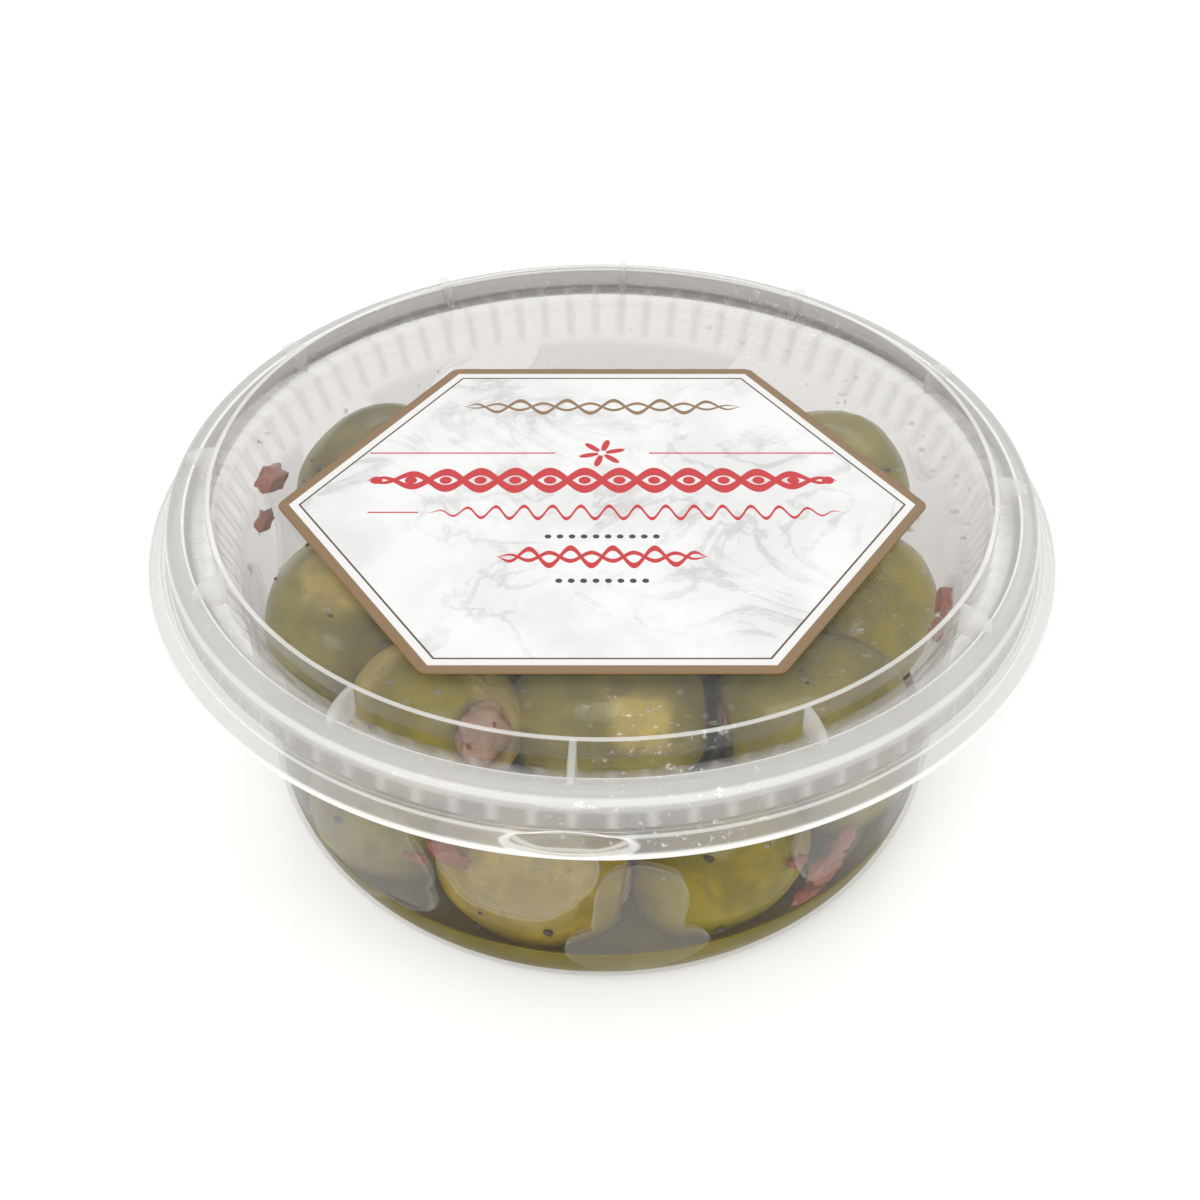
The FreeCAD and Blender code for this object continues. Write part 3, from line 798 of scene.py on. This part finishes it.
def label_paper():
    paper = Finish("label_paper")
    draw = Print(paper)
    prints = [
        (draw.wave(18.2, 19.0, 1.5, 6.4, 0.42), "bronze"),
        (draw.wave(18.2, 19.0, 0.8, 6.4, 0.3, math.pi), "bronze"),
        (draw.bar(-18.4, 7.4, 12.2, 0.14), "red"),
        (draw.bar(18.4, 7.4, 12.2, 0.14), "red"),
        (draw.rosette(7.4), "red"),
        (draw.wave(1.4, 30.5, 1.9, 9.0, 0.85), "red"),
        (draw.wave(1.4, 30.5, 1.9, 9.0, 0.85, math.pi), "red"),
        (draw.dots(1.4, 30.0, 4.5, 0.8), "red"),
        (draw.bar(-26.5, -5.4, 3.2, 0.13), "red"),
        (draw.wave(-5.4, 26.5, 1.3, 3.6, 0.36, cx=4.2), "red"),
        (draw.dots(-10.3, 7.2, 1.5, 0.42), "black"),
        (draw.wave(-14.3, 13.0, 1.7, 5.2, 0.55), "red"),
        (draw.wave(-14.3, 13.0, 0.8, 5.2, 0.4, math.pi), "red"),
        (draw.dots(-18.9, 6.2, 1.5, 0.42), "black"),
    ]
    colour = marble(paper)
    for mask, ink in prints:
        colour = paper.blend(mask, colour, INKS[ink])
    inside = draw.inside()
    past_gap = draw.at_least(inside, RULE[0])
    rule = past_gap * (1 - draw.at_least(inside, RULE[1]))
    colour = paper.blend(rule, colour, RULE_BROWN)
    colour = paper.blend(1 - past_gap, colour, GAP_CREAM)
    colour = paper.blend(1 - draw.at_least(inside, BORDER), colour, INKS["bronze"])
    fibres = paper.bump(paper.noise(1500.0, 3.0, 0.6), 0.12, 0.00006)
    return paper.surface(paper.node("BsdfPrincipled", sockets={
        "Base Color": colour, "Roughness": 0.42, "Specular IOR Level": 0.35, "Normal": fibres}))


new_piece("label_sheet", label_mesh, label_paper(), "label_paper", "label")
print("label printed in", ", ".join(INKS))

# %% [markdown]
# ## Where the olives lie
#
# The olives are big, so two rough layers fill the tub. The ones that show are listed one by one,
# each with a heading, a tip and a tone. Then a small settling loop, in which every olive is a row of
# three balls, pushes overlapping ones apart and keeps all of them inside the wall and above the
# floor. A full physics run would do the same, but this takes a second and always ends alike.

# %% Olives by name
OLIVE_HALF, OLIVE_FAT = 12.8, 9.9
GREY, GREEN, TAN, DARK, GOLD = "grey", "green", "tan", "dark", "gold"
Olive = namedtuple("Olive", "x y z heading tip size tone pitted_end_shows")

OLIVES = {
    "near_left": Olive(-20, -24.5, 30.5, -46, 24, 1.0, TAN, True),
    "near_middle": Olive(2.2, -23, 31, 4, -4, 1.02, GREY, False),
    "near_right": Olive(24, -20.5, 30.5, 10, 6, 0.98, GREY, False),
    "right": Olive(34.5, -2, 31, 66, 6, 0.97, GREEN, False),
    "right_back": Olive(34, 17, 36, 118, -8, 0.98, GREY, False),
    "left": Olive(-35, -2, 30.5, 96, 4, 1.0, GREY, False),
    "left_back": Olive(-34.5, 17, 37, 60, 6, 1.0, DARK, False),
    "far_right": Olive(14, 30, 26, 160, 4, 0.95, DARK, False),
    "middle": Olive(0, -1, 31, 60, 6, 0.98, GREY, False),
    "middle_left": Olive(-13, 12, 30, 120, -5, 0.98, GREEN, False),
    "middle_right": Olive(15, 8, 30, 20, 5, 0.96, TAN, False),
    "far": Olive(-8, 31, 25, 10, 0, 0.95, DARK, False),
    "low_a": Olive(-27.5, -22, 14, -55, 14, 1.0, GREY, False),
    "low_b": Olive(-8.5, -34, 15.5, -10, -4, 1.02, GOLD, True),
    "low_d": Olive(15, -32, 15, 28, 30, 0.98, GREEN, False),
    "low_e": Olive(32.5, -14, 15, 66, -5, 1.0, GREY, False),
    "low_f": Olive(33.5, 11, 13.5, 108, 5, 1.0, TAN, False),
    "low_g": Olive(19, 30, 13, 145, -4, 0.98, GREEN, False),
    "low_h": Olive(-5, 35, 13, 178, 3, 1.0, GREY, False),
    "low_i": Olive(-26.5, 23, 13, 45, 6, 1.0, GOLD, False),
    "low_j": Olive(-35, 1, 13.5, 85, -3, 0.98, GREEN, False),
    "core_a": Olive(-12, -9, 13, 30, 0, 1.0, DARK, False),
    "core_b": Olive(10, -11, 13.5, 130, 0, 1.0, DARK, False),
    "core_c": Olive(0, 13, 13, 80, 0, 1.0, DARK, False),
}


def pointing(name):
    """The unit direction of an olive's long axis, as listed: heading in the level, then tip."""
    heading, tip = math.radians(OLIVES[name].heading), math.radians(OLIVES[name].tip)
    return math.cos(tip) * math.cos(heading), math.cos(tip) * math.sin(heading), math.sin(tip)


print("olives placed by eye:", len(OLIVES))


# %% Settling
END_BALL = 0.72  # size of the two end balls, in parts of the middle one
SINK = 0.7  # how far two olives may press into each other, in mm
PUSH, LONGEST_MOVE, PULL_HOME = 0.22, 1.2, 0.012
WALL_GIVE, LOWEST, HIGHEST, MOVE_BACK = 0.15, 1.6, 46.5, 0.6


def inner_radius(z):
    """Inside radius of the tub at a height, in mm: a draft above 12 mm, a round corner below."""
    if z >= 12.0:
        return 44.7 + (z - 0.7) * 2.25 / 41.9
    return 33.9 + math.sqrt(max(0.0, 11.3 ** 2 - (12.0 - z) ** 2))


def hold_inside(spots, owner, slide, ball):
    """Moves olives back whose balls go through the wall, the floor or the lid."""
    for i, centre in enumerate(spots[owner] + slide):
        reach = math.hypot(centre[0], centre[1])
        limit = inner_radius(max(1.5, centre[2])) - ball[i] + WALL_GIVE
        over = reach - limit
        if over > 0:
            spots[owner[i]][:2] -= MOVE_BACK * over * centre[:2] / reach
        low = LOWEST + ball[i] - centre[2]
        if low > 0:
            spots[owner[i]][2] += MOVE_BACK * low
        high = centre[2] + ball[i] - HIGHEST
        if high > 0:
            spots[owner[i]][2] -= MOVE_BACK * high


def settle(rounds=260):
    spots = np.array([olive[:3] for olive in OLIVES.values()], float)
    goal = spots.copy()
    fat = np.array([OLIVE_FAT * olive.size for olive in OLIVES.values()])
    axes = np.array([pointing(name) for name in OLIVES])
    owner = np.repeat(np.arange(len(OLIVES)), 3)
    offset = np.tile([-1.0, 0.0, 1.0], len(OLIVES))
    ball = fat[owner] * np.where(offset == 0, 1.0, END_BALL)
    slide = (offset * (OLIVE_HALF / OLIVE_FAT - END_BALL) * fat[owner])[:, None] * axes[owner]
    for _ in range(rounds):
        centres = spots[owner] + slide
        gaps = centres[:, None] - centres[None]
        length = np.linalg.norm(gaps, axis=2) + 1e-6
        press = np.maximum(0, ball[:, None] + ball[None] - SINK - length)
        press[owner[:, None] == owner[None]] = 0
        push = (gaps / length[..., None] * press[..., None]).sum(1) * PUSH
        move = np.zeros_like(spots)
        np.add.at(move, owner, push)
        spots += np.clip(move, -LONGEST_MOVE, LONGEST_MOVE) + PULL_HOME * (goal - spots)
        hold_inside(spots, owner, slide, ball)
    return {name: Vector(spot) for name, spot in zip(OLIVES, spots)}


settled = settle()
for name, spot in settled.items():
    moved = (spot - Vector(OLIVES[name][:3])).length
    print(name, [round(c, 1) for c in spot], "moved %.1f" % moved)

# %% [markdown]
# ## Olive flesh
#
# A pitted olive is an oval with fuller shoulders than an ellipse, a blunt closed end, and a
# punched hole at the other end with the stuffing pressed into it. Pickled flesh isn't smooth: it
# has soft dents where olives lay against each other, and faint lengthwise wrinkles. A scaled
# sphere with a bump map would keep a perfect outline, so all of that is worked into the mesh;
# only pores are left to bump. Each olive's tone is stored on its corners as a colour attribute,
# so that one material serves the whole heap.

# %% Tones
TONES = {
    GREY: tint(154, 144, 60), GREEN: tint(162, 148, 6), TAN: tint(208, 186, 100),
    DARK: tint(138, 126, 56), GOLD: tint(172, 148, 8),
}
PATCHES = [  # spots where the skin turns paler or greener: centre, radius, tone
    ((34, -6, 41), 9.0, GREEN), ((-33, -6, 40), 6.0, TAN), ((-22, -30, 39), 6.5, GREEN),
    ((-9, -42, 23), 7.5, TAN), ((31, 14, 40), 6.0, TAN), ((5, -32, 38), 4.0, TAN),
]


def patched(spot, colour):
    for centre, radius, tone in PATCHES:
        part = 1.15 - (spot - Vector(centre)).length / radius
        part = min(1.0, max(0.0, 6 * part))
        colour = tuple(c + part * (t - c) for c, t in zip(colour, TONES[tone]))
    return colour


print("tones:", ", ".join(TONES), "and", len(PATCHES), "patches")

# %% Olive shape
HOLE = 4.9
HOLE_PATH = [  # from the edge of the hole to its bottom: along, out in parts of the opening
    (0.006, 1.03), (-0.010, 0.90), (-0.07, 0.82), (-0.26, 0.78), (-0.34, 0.5), (-0.35, 0.0),
]


def olive_profile(steps=22):
    """Half section of one olive, as (along, out) in parts of its half length and fatness."""
    opening = HOLE / OLIVE_FAT
    body = []
    for k in range(steps):
        angle = math.pi * (1 - k / steps)
        along, out = math.cos(angle), math.sin(angle)
        out = out ** 0.93 * (1 + 0.03 * along)
        place = along * (1 - 0.02 * along)
        if place < 0 or out > opening * 1.12:
            body.append((place, out))
    end = body[-1][0] + 0.03
    return body + [(end + step, opening * out) for step, out in HOLE_PATH]


def dented(spot, shy, seed):
    """Soft dents and lengthwise wrinkles. Returns the factor on the distance from the axis."""
    broad = noise.noise(spot * 0.11 + Vector((seed * 7.3, seed * 3.1, 0)))
    grain = Vector((spot.x * 0.10, spot.y * 0.42, spot.z * 0.42))
    fine = noise.noise(grain + Vector((0, seed * 5.7, 9)))
    return 1 + shy * (0.075 * broad + 0.016 * fine)


print("olive profile:", len(olive_profile()), "points")


# %% One olive
# Painted shade: the tone inside the punched hole is darkened by this factor.
HOLE_PAINTED_SHADE, HOLE_SHY = 0.62, 0.4


def grow_olive(work, colour_layer, name, seed, corners=36):
    """Adds one olive to a mesh under construction, its tone stored on every corner."""
    rng = random.Random(seed)
    size = OLIVES[name].size
    turn = Vector((1, 0, 0)).rotation_difference(olive_axis(name)).to_matrix()
    roll = Matrix.Rotation(rng.uniform(0, 6.28), 3, "X")
    flat = rng.uniform(0.95, 1.0)
    bend = rng.uniform(-0.5, 0.5)
    shade = rng.uniform(0.93, 1.07)
    colour = tuple(c * shade for c in TONES[OLIVES[name].tone][:3]) + (1,)
    rings = []
    for along, out in olive_profile():
        in_hole = out * OLIVE_FAT <= HOLE * 1.04 and along > 0
        # Painted shade: inside the punched hole the tone is darkened.
        painted_hole_dim = HOLE_PAINTED_SHADE if in_hole and along < 0.93 else 1
        x, radius = along * OLIVE_HALF * size, out * OLIVE_FAT * size
        ring = []
        for k in range(corners if out > 0.001 else 1):
            turned = 2 * math.pi * k / corners
            spot = Vector((x, radius * math.cos(turned), radius * math.sin(turned) * flat))
            factor = dented(spot, HOLE_SHY if in_hole else 1.0, seed)
            spot = Vector((spot.x, spot.y * factor, spot.z * factor))
            spot.y += bend * (1 - along * along)
            vert = work.verts.new((turn @ (roll @ spot) + settled[name]) * MM)
            vert[colour_layer] = tuple(c * painted_hole_dim for c in patched(vert.co / MM, colour))
            ring.append(vert)
        rings.append(ring)
    for low, high in zip(rings, rings[1:]):
        for k in range(corners):
            j = (k + 1) % corners
            if len(low) == 1:
                work.faces.new((low[0], high[k], high[j]))
            elif len(high) == 1:
                work.faces.new((low[k], high[0], low[j]))
            else:
                work.faces.new((low[k], high[k], high[j], low[j]))


def olive_axis(name):
    """The way the pitted end points: as listed if it is to show, or else into the heap."""
    axis = Vector(pointing(name))
    outward = Vector((settled[name].x, settled[name].y - 20, 12))
    shows = OLIVES[name].pitted_end_shows
    return -axis if axis.dot(outward) > 0 and not shows else axis


print("pitted ends that show:", [name for name in OLIVES if OLIVES[name].pitted_end_shows])


# %% The heap of olives
INSIDE_FLOOR = 1.35


def kept_in(mesh, margin):
    """Flattens what would stick out through the wall against the wall's inner side."""
    for vert in mesh.vertices:
        x, y, z = (c / MM for c in vert.co)
        z = max(z, INSIDE_FLOOR)
        limit = inner_radius(z) + margin
        reach = math.hypot(x, y)
        if reach > limit:
            x, y = x * limit / reach, y * limit / reach
        vert.co = Vector((x, y, z)) * MM


work = bmesh.new()
tone_layer = work.verts.layers.float_color.new("tone")
for seed, name in enumerate(OLIVES, start=1):
    grow_olive(work, tone_layer, name, seed)
olive_mesh = into_mesh(work, bpy.data.meshes.new("olives_heap"))
kept_in(olive_mesh, 0.12)
print("olives:", len(OLIVES), "with", len(olive_mesh.polygons), "faces")

# %% [markdown]
# ## Olive skin
#
# The skin is matt flesh under a thin wet film. The film is the shader's coat, and the flesh keeps
# its own softer shine. Blotches multiply the tone by a dusky or a bright value, which keeps the
# tone's hue; bruises and pores are laid over it in their own colours.


# %% Skin
DUSKY, BRIGHT = (0.74, 0.72, 0.60, 1), (1.18, 1.16, 1.05, 1)
BRUISE, PORE = tint(118, 98, 44), tint(190, 176, 120)


def olive_skin():
    skin = Finish("olive_skin")
    tone = skin.node("Attribute", {"attribute_name": "tone"}, output="Color")
    blotches = skin.fade(skin.noise(130.0, 5.0, 0.65), 0.38, 0.62)
    bruises = skin.fade(skin.noise(260.0, 4.0, 0.6, distortion=0.8), 0.56, 0.72)
    pores = skin.noise(1700.0, 2.0, 0.5)
    dusky = skin.blend(1.0, tone, DUSKY, how="MULTIPLY")
    bright = skin.blend(1.0, tone, BRIGHT, how="MULTIPLY")
    colour = skin.blend(blotches, dusky, bright)
    colour = skin.blend(bruises * 0.5, colour, BRUISE)
    colour = skin.blend(skin.fade(pores, 0.62, 0.72) * 0.18, colour, PORE)
    relief = skin.bump(pores + 0.8 * skin.noise(420.0, 3.0, 0.5), 0.25, 0.00025)
    return skin.surface(skin.node("BsdfPrincipled", sockets={
        "Base Color": colour, "Roughness": 0.36 + 0.18 * blotches, "Specular IOR Level": 0.15,
        "Coat Weight": 0.35, "Coat Roughness": 0.05, "Normal": relief}))


new_piece("olives_heap", olive_mesh, olive_skin(), "olive", "olives")
print("olive skin ready")

# %% [markdown]
# ## Inside the heap
#
# Between the olives one looks into a dark, oily middle. A lumpy core, smaller than the heap, stops
# the eye there: it stands in for the olives nobody sees, and its dark colour is painted shade for
# the gaps between them. It keeps the heap from looking hollow without filling it with olives nobody
# sees.


# %% Core
CORE_MIDDLE, CORE_WIDE, CORE_TALL = 16.5, 27, 13.5


def lumpy_core():
    work = bmesh.new()
    bmesh.ops.create_icosphere(work, subdivisions=5, radius=1.0)
    for vert in work.verts:
        way = vert.co.normalized()
        swell = 1 + 0.16 * noise.noise(way * 2.6 + Vector((3, 1, 4)))
        vert.co = Vector((
            CORE_WIDE * way.x * swell, CORE_WIDE * way.y * swell,
            CORE_MIDDLE + CORE_TALL * way.z * swell)) * MM
    return into_mesh(work, bpy.data.meshes.new("heap_shade_core"))


core_paint = Finish("heap_shade_core")
# The core's dark colour is painted shade for the gaps between the olives.
core_shade_colour = core_paint.blend(core_paint.noise(80.0, 4.0, 0.6), tint(62, 64, 56), tint(104, 94, 52))
core_shader = core_paint.node("BsdfPrincipled", sockets={
    "Base Color": core_shade_colour, "Roughness": 0.5, "Coat Weight": 0.3, "Coat Roughness": 0.2,
    "Normal": core_paint.bump(core_paint.noise(300.0, 3.0, 0.5), 0.4, 0.0006)})
core_mesh = lumpy_core()
new_piece("heap_shade_core", core_mesh, core_paint.surface(core_shader), "olive", "olives")
print("core:", len(core_mesh.polygons), "faces")

# %% [markdown]
# ## Stuffing
#
# The filling is a pale paste of red pepper, pressed into the punched hole until it bulges a
# little. It could be a cap cut from the olive itself, but a lump of its own can be rough where
# the flesh is smooth: a ball, squashed along the olive's axis and torn by noise, set in the hole.
# Olives whose hole is turned inwards get a coarser ball, since nobody sees it.


# %% Lumps of paste
STUFFING_AT = 0.74  # in parts of the olive's half length


def lump(work, place, axis, sizes, seed, rough, fine):
    """Adds a torn ball. sizes are its half sizes along the axis and across it, in mm."""
    made = bmesh.ops.create_icosphere(work, subdivisions=fine, radius=1.0)["verts"]
    turn = Vector((1, 0, 0)).rotation_difference(Vector(axis).normalized()).to_matrix()
    long, wide, thick = sizes
    for vert in made:
        way = vert.co.copy()
        factor = 1 + rough * noise.noise(way * 1.9 + Vector((seed * 2.7, seed, 0)))
        factor += 0.5 * rough * noise.noise(way * 4.7 + Vector((0, seed * 1.9, 5)))
        spot = Vector((way.x * long, way.y * wide, way.z * thick)) * factor
        vert.co = (turn @ spot + Vector(place)) * MM


work = bmesh.new()
for seed, name in enumerate(OLIVES, start=40):
    axis = olive_axis(name)
    mouth = settled[name] + axis * (OLIVE_HALF * OLIVES[name].size * STUFFING_AT)
    fine = 4 if OLIVES[name].pitted_end_shows else 2
    lump(work, mouth, axis, (2.0, 4.2, 4.2), seed, rough=0.34, fine=fine)
stuffing_mesh = into_mesh(work, bpy.data.meshes.new("stuffing"))
kept_in(stuffing_mesh, 0.1)
print("stuffing:", len(stuffing_mesh.polygons), "faces")

# %% Pepper paste
paste = Finish("pepper_paste")
paste_red = paste.fade(paste.noise(900.0, 2.0, 0.5), 0.6, 0.72)
paste_colour = paste.blend(paste.noise(260.0, 5.0, 0.7), tint(178, 120, 92), tint(224, 196, 170))
paste_colour = paste.blend(paste_red, paste_colour, tint(140, 58, 40))
paste_shader = paste.node("BsdfPrincipled", sockets={
    "Base Color": paste_colour, "Roughness": 0.42, "Coat Weight": 0.3, "Coat Roughness": 0.15,
    "Normal": paste.bump(paste.noise(700.0, 4.0, 0.6), 0.5, 0.0004)})
new_piece("stuffing", stuffing_mesh, paste.surface(paste_shader), "olive", "olives")
print("stuffing ready")

# %% [markdown]
# ## Pepper bits
#
# Flakes of pepper that came loose stick to the inside of the wall, where they show as small
# orange-red strokes. Spots in a texture would have no thickness from the side, so each is a real
# lump at true size, longer than it is wide, laid along the wall and torn more than the stuffing.

# %% Bits of pepper
BITS = [  # angle from the front in degrees; distance from the axis, height and size in mm
    (41, 44.4, 13.0, 2.2), (37.5, 44.6, 9.8, 1.9), (44, 44.8, 17, 1.5), (33, 44.9, 19.5, 1.0),
    (-25, 45.0, 24, 1.8), (-31, 44.9, 21, 1.2), (62, 45.2, 27, 1.7), (-103, 47.2, 43, 2.5),
    (-97, 46.6, 39.5, 1.6), (-60, 44.6, 12, 1.3), (100, 45.0, 20, 1.9), (118, 44.8, 15, 1.5),
    (160, 45.0, 22, 2.1), (-165, 44.6, 16, 1.6), (-130, 45.1, 24, 2.0), (-118, 44.6, 10, 1.3),
    (12, 43.6, 5.0, 1.2), (-14, 43.2, 4.6, 1.0), (78, 45.9, 38, 1.6), (66, 46.0, 41, 1.3),
]


def around(angle, reach, height):
    """A spot at an angle from the front, a distance from the axis and a height."""
    turn = math.radians(angle)
    return Vector((reach * math.sin(turn), -reach * math.cos(turn), height))


work = bmesh.new()
for seed, (angle, reach, height, size) in enumerate(BITS, start=80):
    rng = random.Random(seed)
    spot = around(angle, reach - 0.45 * size, height)
    along_wall = Vector((spot.y, -spot.x, rng.uniform(-20, 20)))
    sizes = (1.45 * size, 0.7 * size, 0.55 * size)
    lump(work, spot, along_wall, sizes, seed, rough=0.5, fine=3)
bits_mesh = into_mesh(work, bpy.data.meshes.new("pepper_bits"))
kept_in(bits_mesh, 0.1)

pepper = Finish("red_pepper")
pepper_colour = pepper.blend(pepper.noise(300.0, 4.0, 0.6), tint(144, 62, 34), tint(184, 102, 54))
pepper_shader = pepper.node("BsdfPrincipled", sockets={
    "Base Color": pepper_colour, "Roughness": 0.35, "Coat Weight": 0.4, "Coat Roughness": 0.08,
    "Normal": pepper.bump(pepper.noise(800.0, 3.0, 0.6), 0.3, 0.0003)})
new_piece("pepper_bits", bits_mesh, pepper.surface(pepper_shader), "olive", "olives")
print("pepper bits:", len(BITS), "with", len(bits_mesh.polygons), "faces")

# %% [markdown]
# ## Specks of herb
#
# Dark crumbs of dried herb cling to the skins. A few are strewn over every olive by a random
# draw with a fixed seed, so that the result is the same each run; none lies on the stuffed end.

# %% Herb specks
SPECKS_PER_OLIVE = 7
SPECK_SIZES = (0.2, 0.25, 0.32, 0.5)
STRETCH = OLIVE_HALF / OLIVE_FAT

work = bmesh.new()
for seed, name in enumerate(OLIVES, start=200):
    rng = random.Random(seed)
    size = OLIVES[name].size
    axis = olive_axis(name)
    for k in range(SPECKS_PER_OLIVE):
        way = Vector((rng.uniform(-1, 1), rng.uniform(-1, 0.6), rng.uniform(-0.6, 1))).normalized()
        along = way.dot(axis)
        if along > 0.75:
            continue
        spot = settled[name] + (way + axis * along * (STRETCH - 1)) * OLIVE_FAT * size
        big = rng.choice(SPECK_SIZES)
        lying = way.cross(Vector((0.3, 0.2, 1)))
        lump(work, spot, lying, (big * 1.6, big, big * 0.5), seed + k, rough=0.5, fine=1)
specks_mesh = into_mesh(work, bpy.data.meshes.new("herb_specks"))
kept_in(specks_mesh, 0.05)

herb = Finish("dried_herb")
herb_colour = herb.blend(herb.noise(500.0, 2.0, 0.5), tint(44, 42, 30), tint(88, 80, 44))
herb_shader = herb.node("BsdfPrincipled", sockets={"Base Color": herb_colour, "Roughness": 0.6})
new_piece("herb_specks", specks_mesh, herb.surface(herb_shader), "olive", "olives")
print("specks:", len(specks_mesh.polygons), "faces")

# %% [markdown]
# ## Droplets under the lid and on the wall
#
# A cold tub sweats inside: small drops of liquid hang under the panel and sit high on the wall.
# They are flattened lumps of clear liquid, two in three of them under the lid. Like the plastic,
# they mix Transparent with gloss, more of it at their edges, which gives each a bright rim.

# %% Droplets
DROPS = 190
DROP_SIZES = (0.16, 0.2, 0.28, 0.4)
UNDER_PANEL, PANEL_REACH = 48.38, 48.4

work = bmesh.new()
rng = random.Random(11)
for k in range(DROPS):
    big = rng.choice(DROP_SIZES)
    if k % 3:
        angle, reach = rng.gauss(25, 60), PANEL_REACH * rng.uniform(0.55, 1.0) ** 0.4
        spot, facing = around(angle, reach, UNDER_PANEL), Vector((0, 0, 1))
    else:
        angle, height = rng.uniform(-180, 180), rng.uniform(24, 42)
        spot = around(angle, inner_radius(height) - 0.02, height)
        facing = Vector((spot.x, spot.y, 0))
    sizes = (0.5 * big, big, big * rng.uniform(1.0, 1.7))
    lump(work, spot, facing, sizes, k, rough=0.15, fine=2)
drops_mesh = into_mesh(work, bpy.data.meshes.new("droplets"))
kept_in(drops_mesh, 0.3)

drops = Finish("droplet")
drop_edge = drops.node("LayerWeight", output="Facing")
drop_clear = drops.node("BsdfTransparent", sockets={"Color": (0.90, 0.89, 0.84, 1)})
drop_gloss = drops.node("BsdfGlossy", sockets={"Roughness": 0.03})
drop_shader = drops.node("MixShader", sockets={
    0: 0.04 + 0.6 * drop_edge ** 2, 1: drop_clear, 2: drop_gloss})
new_piece("droplets", drops_mesh, drops.surface(drop_shader), "brine", "brine")
print("droplets:", DROPS, "with", len(drops_mesh.polygons), "faces")

# %% [markdown]
# ## Brine and oil
#
# The liquid stands a few millimetres deep, and creeps about 4 mm higher in the narrow wedge at
# the wall. It could be poured as a boolean of the tub's inside with the olives cut out, but a
# turned outline is simpler and never fails. The mesh reaches into the plastic, most at the foot,
# so no air shows between the two. It is yellow-brown and a little cloudy, so the material tints
# what lies behind it and adds a body of its own. Its gloss is the same from every side, because
# a gloss that grows at low angles would draw a white band along the foot.


# %% Brine
BRINE_LEVEL, BRINE_FLOOR, BRINE_FOOT = 6.6, 0.25, 36.4
CREEP = [  # distance in from the wall, rise above the level, in mm
    (0.25, 4.2), (0.9, 3.4), (2.0, 2.3), (3.6, 1.3), (6.0, 0.4), (9.0, 0.0),
]
CREEP_TOP, WALL_STEPS = 4.5, 24


def brine_mesh():
    path = [(0, 1.05, 0), (29, 1.05, 1.5), (30, BRINE_FLOOR, 1.0), (BRINE_FOOT, BRINE_FLOOR, 0)]
    for k in range(1, WALL_STEPS + 1):
        z = BRINE_FLOOR + (BRINE_LEVEL + CREEP_TOP - BRINE_FLOOR) * k / WALL_STEPS
        into_wall = 0.12 + 0.42 * max(0.0, 1 - z / 9)
        path.append((inner_radius(max(0.72, z)) + into_wall, z, 0))
    for inward, up in CREEP:
        path.append((inner_radius(BRINE_LEVEL + up) - inward, BRINE_LEVEL + up, 0))
    path.append((0, BRINE_LEVEL, 0))
    return spin("brine_pool", rounded(path), 240)


brine = Finish("brine")
body_colour = brine.blend(brine.noise(70.0, 4.0, 0.6), tint(126, 113, 8), tint(150, 136, 24))
brine_body = brine.node("BsdfPrincipled", sockets={
    "Base Color": body_colour, "Roughness": 0.3, "Specular IOR Level": 0.1})
brine_tint = brine.node("BsdfTransparent", sockets={"Color": tint(198, 178, 112)})
cloudy = 0.62 + 0.25 * brine.fade(brine.noise(60.0, 3.0, 0.5), 0.35, 0.7)
brine_mix = brine.node("MixShader", sockets={0: cloudy, 1: brine_tint, 2: brine_body})
brine_gloss = brine.node("BsdfGlossy", sockets={"Roughness": 0.04})
brine_top = brine.node("MixShader", sockets={0: 0.012, 1: brine_mix, 2: brine_gloss})
pool_mesh = brine_mesh()
new_piece("brine_pool", pool_mesh, brine.surface(brine_top), "brine", "brine")
print("brine:", len(pool_mesh.polygons), "faces")
